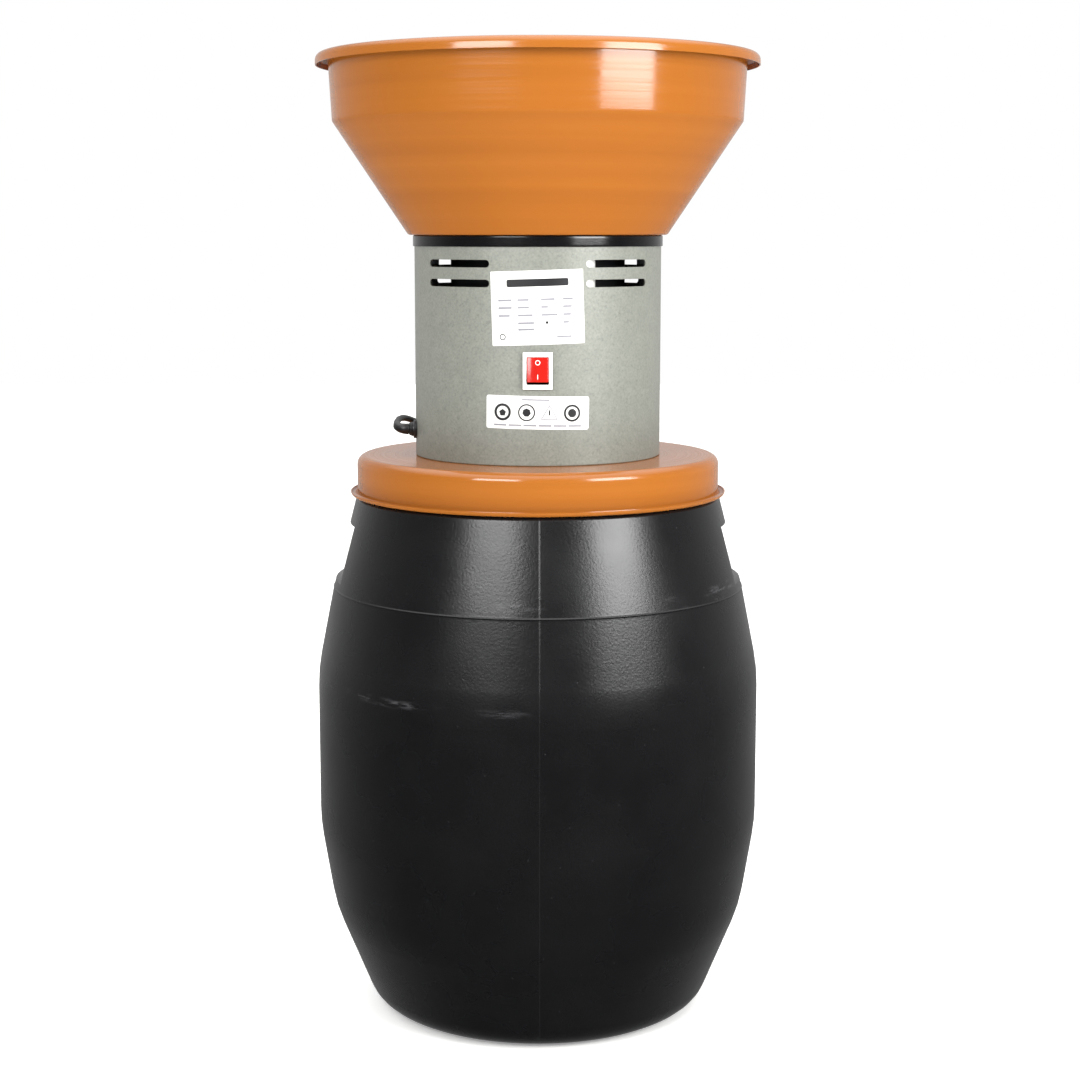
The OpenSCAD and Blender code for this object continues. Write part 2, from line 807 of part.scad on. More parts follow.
module hammer(i) {
    color("#7f8488") rotate(i * 90) translate([pin_at, 0, hammer_z]) difference() {
        union() {
            translate([0, -hammer_w / 2, 0]) cube([hammer_len, hammer_w, hammer_t]);
            cylinder(r = hammer_w / 2, h = hammer_t);
        }
        translate([0, 0, -1]) cylinder(r = pin_r + run_gap, h = hammer_t + 2);
    }
}

module hammer_1() {
    hammer(0);
}

module hammer_2() {
    hammer(1);
}

module hammer_3() {
    hammer(2);
}

module hammer_4() {
    hammer(3);
}

module rotor_bolt() {
    color("silver") {
        translate([0, 0, plate_z]) cylinder(r = m8, h = 18, $fn = 48);
        translate([0, 0, plate_z - 3]) cylinder(r = 14, h = 3);
        translate([0, 0, plate_z - 8]) cylinder(r = 7.5, h = 5, $fn = 6);
    }
}

// ---- sieve ----

module sieve_ring() {
    pitch = chamber_h / (sieve_rows + 1);
    color("#c2c6c8") difference() {
        ring(sieve_r, sieve_out, lid_under - chamber_h, chamber_h);
        for (row = [1:sieve_rows])
            around(evenly(sieve_columns, row * 180 / sieve_columns), sieve_r - 2)
                translate([0, 0, lid_under - chamber_h + row * pitch])
                    rotate([0, 90, 0]) cylinder(r = sieve_hole_r, h = sieve_t + 4, $fn = 24);
    }
}

module sieve_cover() {
    color("#aeb3b6") difference() {
        union() {
            translate([0, 0, cover_z]) cylinder(r = cover_r, h = cover_t);
            around(stud_angles, 0) translate([cover_r - 4, -12, cover_z])
                cube([stud_at - cover_r + 4, 24, cover_t]);
            around(stud_angles, stud_at) translate([0, 0, cover_z]) cylinder(r = 12, h = cover_t);
        }
        around(stud_angles, stud_at) translate([0, 0, cover_z - 1])
            cylinder(r = m8 + bolt_slack, h = cover_t + 2);
    }
}

// Studs that are welded to the lid's underside
module cover_studs() {
    color("silver") around(stud_angles, stud_at) {
        translate([0, 0, lid_under - stud_drop]) cylinder(r = m8, h = stud_drop);
        translate([0, 0, lid_under - 1.5]) cylinder(r = m8 + 1.5, h = 1.5);
    }
}

module wing_nuts() {
    low = cover_z - 9;
    color("silver") around(stud_angles, stud_at) difference() {
        union() {
            translate([0, 0, low]) cylinder(r1 = 7, r2 = 8.5, h = 9, $fn = 48);
            for (turn = [60, 240]) rotate(turn) translate([5, -1.5, low - 8]) cube([11, 3, 14]);
        }
        translate([0, 0, low - 1]) cylinder(r = m8, h = 12, $fn = 48);
    }
}

// ---- switch ----

module rounded_plate(w, h, t, corner) {
    rotate([90, 0, 0]) linear_extrude(height = t) union() {
        square([w - 2 * corner, h], center = true);
        square([w, h - 2 * corner], center = true);
        for (x = [-1, 1]) for (z = [-1, 1])
            translate([x * (w / 2 - corner), z * (h / 2 - corner)]) circle(r = corner);
    }
}

module switch_frame() {
    color("#f4f4f2") difference() {
        translate([0, front_y, switch_z]) rounded_plate(frame_w, frame_h, frame_t, frame_corner);
        translate([0, front_y - frame_t / 2, switch_z])
            cube([window_w, frame_t + 2, window_h], center = true);
    }
}

module switch_body() {
    w = window_w + 2 * body_wall;
    h = window_h + 2 * body_wall;
    color("#1e1f21") difference() {
        union() {
            translate([-w / 2, front_y, switch_z - h / 2]) cube([w, body_depth, h]);
            for (x = [-5, 5]) for (z = [-7, 7])
                translate([x - 0.4, front_y + body_depth - EPS, switch_z + z - 3])
                    cube([0.8, 7, 6]);
        }
        translate([-window_w / 2, front_y - 1, switch_z - window_h / 2])
            cube([window_w, body_depth - 1.5, window_h]);
        translate([-w, front_y + pivot_back, switch_z]) rotate([0, 90, 0])
            cylinder(r = pivot_r + run_gap, h = 2 * w, $fn = 48);
    }
}

// The rocker's face has two flats that meet at its middle. At rest its top is pressed in.
module switch_rocker() {
    half = rocker_h / 2;
    proud = 8;
    color("#d21f1a") translate([0, front_y + pivot_back, switch_z]) rotate([-rocker_tilt, 0, 0]) {
        rotate([90, 0, 90]) translate([0, 0, -rocker_w / 2]) linear_extrude(height = rocker_w)
            polygon([
                [-proud, -half + 0.8], [-proud + 1.2, 0], [-proud, half - 0.8],
                [-proud + 2.4, half - 0.4], [1, half - 2.5], [3.5, 0], [1, -half + 2.5],
                [-proud + 2.4, -half + 0.4]
            ]);
        translate([-window_w / 2 - body_wall, 0, 0]) rotate([0, 90, 0])
            cylinder(r = pivot_r, h = window_w + 2 * body_wall, $fn = 48);
    }
}

// ---- gland and leads ----

module cable_gland() {
    color("#17181b") rotate(gland_angle) translate([0, 0, gland_z]) difference() {
        union() {
            translate([housing_r, 0, 0]) rotate([0, 90, 0])
                cylinder(r = gland_flange_r, h = gland_flange_t);
            translate([housing_r + gland_flange_t, 0, 0]) rotate([0, 90, 0])
                cylinder(r1 = 6.5, r2 = 4.8, h = gland_nose);
            translate([housing_in - gland_thread, 0, 0]) rotate([0, 90, 0])
                cylinder(r = gland_thread_r, h = gland_thread + sheet + EPS);
        }
        translate([housing_in - gland_thread - 2, 0, 0]) rotate([0, 90, 0]) cylinder(r = lead_r + ASIDE, h = 40);
    }
}

module gland_nut() {
    color("#26272a") rotate(gland_angle) translate([housing_in - 6, 0, gland_z])
        rotate([0, 90, 0]) difference() {
            cylinder(r = 9, h = 5, $fn = 6);
            translate([0, 0, -1]) cylinder(r = gland_thread_r, h = 7);
        }
}

module supply_lead() {
    color("#17181b") tube(smooth(SUPPLY_LEAD, 3), lead_r);
}

module motor_lead() {
    color("#17181b") tube(smooth(MOTOR_LEAD, 3), lead_r);
}

// ---- labels: thin stickers that follow the housing ----

module sticker(w, h, up, turn) {
    half = w * 90 / (PI * housing_r);
    translate([0, 0, lid_z + up]) intersection() {
        rotate(270 - half - 2) rotate_extrude(angle = 2 * half + 4)
            translate([housing_r, -h / 2 - 3]) square([label_t, h + 6]);
        rotate([0, turn, 0]) translate([0, -housing_r, 0])
            cube([2 * housing_r * sin(half), 70, h], center = true);
    }
}

module rating_plate() {
    color("#f6f6f4") sticker(plate_w, plate_h, plate_up, -plate_turn);
}

module safety_label() {
    color("#f6f6f4") sticker(safety_w, safety_h, safety_up, -safety_turn);
}

// ---- power cord ----

module power_cord() {
    color("#141416") tube(smooth(CORD_ROUTE, 2), cord_r);
}

module cord_coil() {
    color("#141416") translate(COIL_AT) ring(COIL_IN, COIL_OUT, 0, COIL_H);
}

module cord_tail() {
    color("#141416") tube(smooth(CORD_TAIL, 2), cord_r);
}

module plug_body() {
    color("#141416") translate(PLUG_AT) rotate([0, 90, 0]) {
        cylinder(r1 = 5, r2 = 8, h = plug_neck);
        translate([0, 0, plug_neck]) cylinder(r1 = 12, r2 = plug_r, h = 12);
        translate([0, 0, plug_neck + 12]) cylinder(r = plug_r, h = plug_len - plug_neck - 12);
    }
}

module plug_pins() {
    color("#cfd2d4") translate(PLUG_AT + [plug_len, 0, 0]) for (side = [-1, 1])
        translate([0, side * plug_pin_gap / 2, 0]) rotate([0, 90, 0])
            cylinder(r = plug_pin_r, h = plug_pin_len, $fn = 32);
}

barrel();
lid_gasket();
lid();
housing_shell();
housing_rivets();
edge_trim();
hopper();
hopper_brackets();
hopper_spacers();
hopper_bolts();
hopper_nuts();
feed_chute();
gate_guides();
guide_rivets();
feed_gate();
gate_knob();
lower_end_shield();
motor_can();
stator_core();
stator_windings();
upper_end_shield();
lower_bearing();
upper_bearing();
motor_shaft();
rotor_core();
cooling_fan();
fan_cowl();
cowl_screws();
motor_bolts();
capacitor();
capacitor_clip();
shaft_seal();
rotor_spacer();
rotor_plate();
hammer_pins();
hammer_1();
hammer_2();
hammer_3();
hammer_4();
rotor_bolt();
sieve_ring();
sieve_cover();
cover_studs();
wing_nuts();
switch_frame();
switch_body();
switch_rocker();
cable_gland();
gland_nut();
supply_lead();
motor_lead();
rating_plate();
safety_label();
power_cord();
cord_coil();
cord_tail();
plug_body();
plug_pins();
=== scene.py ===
import math

import bpy
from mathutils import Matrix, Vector


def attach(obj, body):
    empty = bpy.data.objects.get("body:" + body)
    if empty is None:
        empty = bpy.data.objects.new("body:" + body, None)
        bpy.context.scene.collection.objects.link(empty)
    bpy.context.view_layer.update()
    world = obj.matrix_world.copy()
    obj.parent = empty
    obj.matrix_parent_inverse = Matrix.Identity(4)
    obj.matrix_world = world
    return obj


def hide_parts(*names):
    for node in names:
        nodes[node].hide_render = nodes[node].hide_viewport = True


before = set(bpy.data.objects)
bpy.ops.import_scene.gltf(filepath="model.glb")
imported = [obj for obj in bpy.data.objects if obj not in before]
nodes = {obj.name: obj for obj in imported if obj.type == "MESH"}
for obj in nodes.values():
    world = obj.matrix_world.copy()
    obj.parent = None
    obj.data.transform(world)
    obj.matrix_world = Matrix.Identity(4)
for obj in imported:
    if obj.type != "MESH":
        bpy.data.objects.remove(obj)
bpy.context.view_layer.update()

# ---- Camera ----
# It stands two metres in front of the mill, a little under the motor housing, and looks
# slightly down, so that the lid's top shows as a thin ellipse.
bpy.ops.object.camera_add(location=(0.002, -1.917, 0.721), rotation=(math.radians(81.56), 0, 0))
camera = bpy.context.object
camera.data.lens = 69.28
bpy.context.scene.camera = camera


# ---- Power cord ----
# A round black mains lead of soft PVC, 6 mm thick and 1.8 m long. It leaves the housing low on
# the left, goes round its back and over the lid, and the spare length lies in a flat coil.
def linear(colour):
    """The linear colour that a shader takes, from an sRGB hex colour."""
    parts = [int(colour[i:i + 2], 16) / 255 for i in (1, 3, 5)]
    return (*[p / 12.92 if p <= 0.04045 else ((p + 0.055) / 1.055) ** 2.4 for p in parts], 1)


def add_node(material, kind, inputs=None, **settings):
    """Adds a shader node, sets it up, and links or sets its inputs by name or number."""
    node = material.node_tree.nodes.new("ShaderNode" + kind)
    for name, value in settings.items():
        setattr(node, name, value)
    for name, value in (inputs or {}).items():
        if isinstance(value, bpy.types.Node):
            value = value.outputs[0]
        if isinstance(value, bpy.types.NodeSocket):
            material.node_tree.links.new(value, node.inputs[name])
        else:
            node.inputs[name].default_value = value
    return node


def empty_material(name):
    material = bpy.data.materials.new(name)
    material.use_nodes = True
    material.node_tree.nodes.clear()
    return material


def grained(name, colour, other, grain, relief, roughness, metallic=0.0, ior=1.5, stretch=(1, 1, 1)):
    """A finish whose tone drifts between two colours, with a grain of that size and relief in mm."""
    material = empty_material(name)
    place = add_node(material, "TexCoord").outputs["Object"]
    place = add_node(material, "Mapping", {"Vector": place, "Scale": stretch})
    drift = add_node(material, "TexNoise", {"Vector": place, "Scale": 1000 / 35, "Detail": 4})
    fine = add_node(material, "TexNoise", {"Vector": place, "Scale": 1000 / grain, "Detail": 3})
    tone = add_node(material, "MapRange", {"Value": drift, "From Min": 0.35, "From Max": 0.65})
    base = add_node(material, "MixRGB", {"Fac": tone, "Color1": linear(colour), "Color2": linear(other)})
    rough = add_node(
        material, "MapRange",
        {"Value": fine, "To Min": max(roughness - 0.08, 0.03), "To Max": min(roughness + 0.08, 1)},
    )
    bump = add_node(material, "Bump", {"Height": fine, "Strength": 0.6, "Distance": relief / 1000})
    shader = add_node(material, "BsdfPrincipled", {
        "Base Color": base, "Metallic": metallic, "Roughness": rough, "IOR": ior, "Normal": bump,
    })
    add_node(material, "OutputMaterial", {"Surface": shader})
    return material


def fit(piece, body, material, slot, *stands_for):
    """Gives a finished piece its material and its body, and hides the CAD nodes it stands for. The slot is not used."""
    if material:
        piece.data.materials.clear()
        piece.data.materials.append(material)
    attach(piece, body)
    if stands_for:
        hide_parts(*stands_for)
    return piece


def coat(material, *names):
    """Gives this finish to CAD nodes that keep their shape."""
    for name in names:
        for place in nodes[name].material_slots:
            place.material = material


# Soft PVC with a faint matt skin, so it shows a broad dull highlight along its top
cord_pvc = grained("cord_pvc", "#141416", "#1b1b1d", 0.9, 0.03, 0.42, ior=1.53)
route = [
    (-118.3, -16.6, 542), (-123, -17, 542.4), (-128, -13, 543.5), (-130, -5, 545),
    (-130.5, 8, 546.5), (-129, 22, 548), (-124, 38, 547), (-114, 56, 541),
    (-101, 74, 532), (-88, 90, 524), (-76, 105, 521.3), (-67, 120, 521.3),
    (-62, 134, 521.3), (-62, 146, 521.3), (-64, 152, 519.5), (-66, 156, 514),
    (-67.5, 159, 505), (-69, 163, 494), (-70, 165, 482), (-73, 171, 450),
    (-76, 179, 398), (-82, 193, 318), (-82, 193, 230), (-82, 193, 140),
    (-82, 193, 60), (-81, 193, 36), (-74, 194, 15), (-60, 196, 5),
    (-44, 199, 3.7), (-30, 201, 3.7), (-16, 202, 3.7),
]
coil_x, coil_y = -10, 240
for step in range(5 * 16 + 1):
    turn, part = divmod(step, 16)
    part /= 16
    low, high = 3.7, 9.9
    if turn == 0:
        radius, height = 37.8 - 6.2 * part, low
    elif turn == 1:
        radius, height = 31.6 - 6.2 * part, low
    elif turn == 2:
        radius, height = 25.4 - 2.1 * math.sin(math.pi * part), low + (high - low) * part
    elif turn == 3:
        radius, height = 25.4 + 6.2 * part, high
    else:
        radius, height = min(31.6 + 6.2 * part, 37.8), high
    if turn == 5:
        radius = 37.8
    angle = 2 * math.pi * step / 16 - math.pi / 2
    route.append((coil_x + radius * math.cos(angle), coil_y + radius * math.sin(angle), height))
route += [(-2, 202, 9.9), (12, 201, 10), (26, 202, 13), (40, 204, 17), (50, 205, 18.5), (60, 205, 18.5)]
cord_line = bpy.data.curves.new("power_cord", "CURVE")
cord_line.dimensions = "3D"
cord_line.bevel_depth = 0.003
cord_line.bevel_resolution = 3
cord_line.resolution_u = 5
cord_line.use_fill_caps = True
spline = cord_line.splines.new("BEZIER")
spline.bezier_points.add(len(route) - 1)
for knot, point in zip(spline.bezier_points, route):
    knot.co = [c / 1000 for c in point]
    knot.handle_left_type = knot.handle_right_type = "AUTO"
power_cord = bpy.data.objects.new("mains_lead", cord_line)
bpy.context.scene.collection.objects.link(power_cord)
fit(power_cord, "head", cord_pvc, "cord_rubber", "power_cord", "cord_coil", "cord_tail")


# ---- Cord tie ----
# A hook-and-loop strap of black nylon, 9 mm wide, closed round the coil on its far side.
def apply_modifier(piece, kind, **settings):
    """Adds a modifier to a piece and applies it."""
    bpy.ops.object.select_all(action="DESELECT")
    piece.select_set(True)
    bpy.context.view_layer.objects.active = piece
    modifier = piece.modifiers.new(kind.title(), kind)
    for name, value in settings.items():
        setattr(modifier, name, value)
    bpy.ops.object.modifier_apply(modifier=modifier.name)


def block(name, centre, size):
    """A cube primitive of that size in mm at its place in mm, with no face selected, in object mode."""
    bpy.ops.object.select_all(action="DESELECT")
    bpy.ops.mesh.primitive_cube_add(size=1, location=[c / 1000 for c in centre])
    piece = bpy.context.object
    piece.name = piece.data.name = name
    piece.scale = [s / 1000 for s in size]
    bpy.ops.object.transform_apply(location=True, rotation=True, scale=True)
    bpy.ops.object.mode_set(mode="EDIT")
    bpy.ops.mesh.select_mode(type="FACE")
    bpy.ops.mesh.select_all(action="DESELECT")
    bpy.ops.object.mode_set(mode="OBJECT")
    return piece


def edit_faces(piece, wanted):
    """Goes into edit mode with just those faces selected that the test picks."""
    bpy.ops.object.select_all(action="DESELECT")
    piece.select_set(True)
    bpy.context.view_layer.objects.active = piece
    bpy.ops.object.mode_set(mode="EDIT")
    bpy.ops.mesh.select_mode(type="FACE")
    bpy.ops.mesh.select_all(action="DESELECT")
    bpy.ops.object.mode_set(mode="OBJECT")
    for face in piece.data.polygons:
        face.select = wanted(face)
    bpy.ops.object.mode_set(mode="EDIT")


def rounded_off(piece, angle=35):
    """Smooth shading that keeps edges over that angle sharp."""
    bpy.ops.object.select_all(action="DESELECT")
    piece.select_set(True)
    bpy.context.view_layer.objects.active = piece
    bpy.ops.object.shade_smooth_by_angle(angle=math.radians(angle))
    return piece


cord_tie = block("cord_tie", (coil_x, coil_y + 30.45, 6.8), (9, 22.3, 12.5))
edit_faces(cord_tie, lambda face: abs(face.normal.x) > 0.5)
bpy.ops.mesh.delete(type="FACE")
bpy.ops.object.mode_set(mode="OBJECT")
apply_modifier(cord_tie, "BEVEL", width=0.003, segments=4, limit_method="ANGLE")
apply_modifier(cord_tie, "SOLIDIFY", thickness=0.0005, offset=1)
rounded_off(cord_tie)
# Woven nylon loop pile: matt and even, with a thread of about 0.8 mm
tie_nylon = grained("tie_nylon", "#17181b", "#222327", 0.8, 0.15, 0.8)
fit(cord_tie, "head", tie_nylon, "cord_rubber")


# ---- Mains plug ----
# A straight two-pin plug moulded on the lead in the same PVC, with a ribbed neck and a
# grooved grip. The pins are brass with a bright nickel plate.
def bent(line):
    """The points of a side view in mm, where each (radius, height, bend) corner becomes an arc."""
    points = [Vector(line[0][:2])]
    for i in range(1, len(line) - 1):
        here, bend = Vector(line[i][:2]), line[i][2]
        before = (Vector(line[i - 1][:2]) - here).normalized()
        after = (Vector(line[i + 1][:2]) - here).normalized()
        turn = math.pi - before.angle(after)
        if bend < 0.01 or turn < 0.01:
            points.append(here)
            continue
        reach = bend * math.tan(turn / 2)
        middle = here + (before + after).normalized() * (bend / math.cos(turn / 2))
        start, end = here + before * reach - middle, here + after * reach - middle
        steps = max(2, math.ceil(math.degrees(turn) / 12))
        if (points[-1] - start - middle).length > 4:
            points.append(middle + start + before * 1.5)
        points += [middle + start.slerp(end, k / steps) * bend for k in range(steps + 1)]
        if (Vector(line[i + 1][:2]) - end - middle).length > 4:
            points.append(middle + end + after * 1.5)
    return points + [Vector(line[-1][:2])]


def turned(name, points, sides, first_angle=0):
    """Draws a side view (radius, height) in mm point by point and spins it round the upright axis."""
    bpy.ops.object.select_all(action="DESELECT")
    bpy.ops.mesh.primitive_plane_add(size=0.001)
    piece = bpy.context.object
    piece.name = piece.data.name = name
    bpy.ops.object.mode_set(mode="EDIT")
    bpy.ops.mesh.select_mode(type="VERT")
    bpy.ops.mesh.merge(type="CENTER")
    place = Vector((0, 0, 0))
    c, s = math.cos(math.radians(first_angle)), math.sin(math.radians(first_angle))
    for i, (radius, height) in enumerate(points):
        target = Vector((radius * c, radius * s, height)) / 1000
        if i == 0:
            bpy.ops.transform.translate(value=target - place)
        else:
            bpy.ops.mesh.extrude_region_move(TRANSFORM_OT_translate={"value": target - place})
        place = target
    bpy.ops.mesh.select_all(action="SELECT")
    bpy.ops.mesh.spin(steps=sides, angle=2 * math.pi, center=(0, 0, 0), axis=(0, 0, 1))
    bpy.ops.mesh.select_all(action="SELECT")
    bpy.ops.mesh.remove_doubles(threshold=0.000002)
    bpy.ops.mesh.normals_make_consistent(inside=False)
    bpy.ops.object.mode_set(mode="OBJECT")
    outward = sum(f.area * (f.normal.x * f.center.x + f.normal.y * f.center.y) for f in piece.data.polygons)
    if outward < 0:
        bpy.ops.object.mode_set(mode="EDIT")
        bpy.ops.mesh.select_all(action="SELECT")
        bpy.ops.mesh.flip_normals()
        bpy.ops.object.mode_set(mode="OBJECT")
    return piece


def put(piece, place, turn):
    """Moves a finished piece to its place in mm, turned in degrees, and applies both."""
    bpy.ops.object.select_all(action="DESELECT")
    piece.select_set(True)
    bpy.context.view_layer.objects.active = piece
    piece.rotation_euler = [math.radians(a) for a in turn]
    piece.location = [c / 1000 for c in place]
    bpy.ops.object.transform_apply(location=True, rotation=True, scale=True)
    return piece


neck = [(0, 0.2, 0), (4.4, 0.2, 0.6)]
for rib in range(3):
    neck += [(5.0 + rib * 0.8, 1.2 + rib * 3.4, 0.5), (5.3 + rib * 0.8, 3.2 + rib * 3.4, 0.4)]
    neck += [(4.2 + rib * 0.8, 3.5 + rib * 3.4, 0.3), (4.5 + rib * 0.8, 4.3 + rib * 3.4, 0.3)]
plug = turned("mains_plug", bent(neck + [
    (7.8, 11.9, 1), (12.2, 12.6, 2.5), (17.8, 24, 3), (18.2, 30, 1),
    (18.2, 39.9, 1.2), (0, 39.9, 0),
]), 64)
edit_faces(plug, lambda face: 0.026 < face.center.z < 0.0375
           and math.hypot(face.center.x, face.center.y) > 0.016
           and math.degrees(math.atan2(face.center.y, face.center.x)) % 24 < 11)
bpy.ops.mesh.inset(thickness=0.0004, depth=-0.0007, use_boundary=True)
bpy.ops.object.mode_set(mode="OBJECT")
put(rounded_off(plug, 40), (60, 205, 18.5), (0, 90, 0))
fit(plug, "head", cord_pvc, "cord_rubber", "plug_body")
# Nickel plate on turned brass: a warm silver with fine lines round it
plated_brass = grained("plated_brass", "#cfc8b8", "#bdb49f", 0.6, 0.01, 0.22, metallic=1.0)
coat(plated_brass, "plug_pins")

# ---- Cable gland ----
# A screwed nylon gland with a tapered nose, black, held inside the sheet by a hexagon nut.
gland = turned("gland_body", bent([
    (2.75, -13, 0), (6, -13, 0.4), (6, 0, 0), (8.5, 0, 0.2), (8.5, 2.5, 0.6), (6.7, 2.5, 0.3),
    (6.3, 3.6, 0.3), (6.7, 4.1, 0.3), (5.8, 5.2, 0.3), (6.0, 5.7, 0.3), (4.7, 7, 0.5), (3.25, 7, 0.2),
    (2.75, -13, 0),
]), 48)
put(rounded_off(gland, 40), (112.5 * math.cos(math.radians(188)), 112.5 * math.sin(math.radians(188)), 542),
    (0, 90, 188))
# Moulded nylon, satin, with the fine texture of a sparked mould
nylon = grained("moulded_nylon", "#17181b", "#1e1f22", 0.5, 0.02, 0.38, ior=1.53)
fit(gland, "head", nylon, "black_plastic", "cable_gland")
coat(nylon, "gland_nut", "cooling_fan", "switch_body", "hopper_spacers")
# A soft PVC sleeve, moulded on the lead, tapers along its first 22 mm and keeps its bend wide.
sleeve_line = bpy.data.curves.new("bend_sleeve", "CURVE")
sleeve_line.dimensions = "3D"
sleeve_line.bevel_depth = 0.003
sleeve_line.bevel_resolution = 5
sleeve_line.resolution_u = 8
sleeve_line.use_fill_caps = True
spline = sleeve_line.splines.new("BEZIER")
spline.bezier_points.add(3)
for knot, point, girth in zip(spline.bezier_points, route, (1.72, 1.6, 1.4, 1.16)):
    knot.co = [c / 1000 for c in point]
    knot.radius = girth
    knot.handle_left_type = knot.handle_right_type = "AUTO"
sleeve = bpy.data.objects.new("bend_sleeve", sleeve_line)
bpy.context.scene.collection.objects.link(sleeve)
bpy.ops.object.select_all(action="DESELECT")
sleeve.select_set(True)
bpy.context.view_layer.objects.active = sleeve
bpy.ops.object.convert(target="MESH")
sleeve = bpy.context.object
rounded_off(sleeve, 50)
fit(sleeve, "head", cord_pvc, "cord_rubber")

# ---- Barrel ----
# A 50-litre open-top barrel, blow-moulded in black HDPE, with two hand grips pressed in at the
# sides, a raised foot ring and a drawn-in neck. The bands meet in soft creases.
barrel_line = bent([
    (0, 6, 0), (113, 6, 3), (119, 0, 2), (152.6, 0, 30), (192, 96, 130), (205, 175, 160),
    (205, 319, 160), (189.9, 395.4, 0.4), (190.1, 396.6, 0.4), (189.2, 397.6, 0.4), (187.64, 404, 0),
    (173.89, 456, 0), (172.3, 462, 3),
    (168.2, 478, 3), (161, 486, 4), (161, 514, 1.2), (153, 514, 0),
])
barrel = turned("feed_barrel", barrel_line, 180, first_angle=1)
edit_faces(barrel, lambda face: 0.4039 < face.center.z < 0.4561
           and abs(face.center.y) < math.tan(math.radians(17)) * abs(face.center.x)
           and math.hypot(face.center.x, face.center.y) > 0.165)
bpy.ops.mesh.inset(thickness=0.0015, depth=-0.005)
bpy.ops.object.mode_set(mode="OBJECT")
apply_modifier(barrel, "SOLIDIFY", thickness=0.003, offset=-1)
apply_modifier(barrel, "BEVEL", width=0.0012, segments=3, limit_method="ANGLE", angle_limit=math.radians(38))
rounded_off(barrel, 45)
# HDPE out of a sandblasted mould: near black, satin, with a pebbled grain of about 1.5 mm.
# The creases are rubbed grey, and the two halves of the mould leave a fine line.
hdpe = empty_material("blown_hdpe")
place = add_node(hdpe, "TexCoord").outputs["Object"]
axes = add_node(hdpe, "SeparateXYZ", {"Vector": place})
grain = add_node(hdpe, "TexNoise", {"Vector": place, "Scale": 1000 / 2.2, "Detail": 3, "Roughness": 0.6})
waves = add_node(hdpe, "TexNoise", {"Vector": place, "Scale": 1000 / 60, "Detail": 3})
flat_place = add_node(hdpe, "Mapping", {"Vector": place, "Scale": (1, 1, 6)})
rubs = add_node(hdpe, "TexNoise", {"Vector": flat_place, "Scale": 1000 / 22, "Detail": 8, "Roughness": 0.72})
scuff = None
for height, reach, level in ((0.3175, 0.0045, 0.55), (0.3985, 0.0016, 0.62), (0.4065, 0.0055, 0.56)):
    away = add_node(hdpe, "Math", {0: axes.outputs["Z"], 1: height}, operation="SUBTRACT")
    away = add_node(hdpe, "Math", {0: away}, operation="ABSOLUTE")
    near = add_node(hdpe, "MapRange", {"Value": away, "From Max": reach, "To Min": 1, "To Max": 0})
    patch = add_node(hdpe, "MapRange", {"Value": rubs, "From Min": level - 0.06, "From Max": level + 0.12})
    band = add_node(hdpe, "Math", {0: near, 1: patch}, operation="MULTIPLY")
    scuff = band if scuff is None else add_node(hdpe, "Math", {0: scuff, 1: band}, operation="MAXIMUM")
patches = add_node(hdpe, "TexNoise", {"Vector": place, "Scale": 1000 / 90, "Detail": 1})
patches = add_node(hdpe, "MapRange", {"Value": patches, "From Min": 0.5, "From Max": 0.62})
scuff = add_node(hdpe, "Math", {0: scuff, 1: patches}, operation="MULTIPLY")
specks = add_node(hdpe, "TexVoronoi", {"Vector": place, "Scale": 1000 / 16})
specks = add_node(hdpe, "MapRange", {"Value": specks, "From Min": 0.025, "From Max": 0.04, "To Min": 0.35, "To Max": 0})
sideways = add_node(hdpe, "Math", {0: axes.outputs["X"], 1: 0.0015}, operation="SUBTRACT")
sideways = add_node(hdpe, "Math", {0: sideways}, operation="ABSOLUTE")
parting = add_node(hdpe, "MapRange", {"Value": sideways, "From Min": 0.0002, "From Max": 0.0006, "To Min": 1, "To Max": 0})
marks = add_node(hdpe, "Math", {0: scuff, 1: specks}, operation="MAXIMUM")
line_tone = add_node(hdpe, "Math", {0: parting, 1: 0.06}, operation="MULTIPLY")
marks = add_node(hdpe, "Math", {0: marks, 1: line_tone}, operation="MAXIMUM")
skin = add_node(hdpe, "MixRGB", {"Fac": waves, "Color1": linear("#0b0b0c"), "Color2": linear("#111113")})
skin = add_node(hdpe, "MixRGB", {"Fac": marks, "Color1": skin, "Color2": linear("#4c4c4e")})
shine = add_node(hdpe, "MapRange", {"Value": waves, "From Min": 0.3, "From Max": 0.7, "To Min": 0.24, "To Max": 0.32})
ridge = add_node(hdpe, "Math", {0: parting, 1: 1.0}, operation="MULTIPLY")
relief = add_node(hdpe, "Math", {0: grain, 1: ridge}, operation="ADD")
bump = add_node(hdpe, "Bump", {"Height": relief, "Strength": 0.7, "Distance": 0.0002})
shader = add_node(hdpe, "BsdfPrincipled", {
    "Base Color": skin, "Roughness": shine, "IOR": 1.54, "Specular IOR Level": 0.4, "Normal": bump,
})
add_node(hdpe, "OutputMaterial", {"Surface": shader})
fit(barrel, "barrel", hdpe, "barrel_hdpe", "barrel")

# ---- Lid gasket ----
# A ring of closed-cell foam that lies between the barrel's rim and the lid.
foam = grained("closed_cell_foam", "#2f2f31", "#3a3a3c", 0.7, 0.2, 0.9)
coat(foam, "lid_gasket")


# ---- Lid ----
# A steel sheet spun to a flat lid with a rounded edge and a lip curled outwards, and painted
# orange. The spinning tool leaves fine lines round it, which show in the highlights.
def cut(piece, *cutters):
    """Cuts the cutters out of a closed piece and takes them away."""
    for cutter in cutters:
        apply_modifier(piece, "BOOLEAN", operation="DIFFERENCE", solver="EXACT", object=cutter)
        bpy.data.objects.remove(cutter)


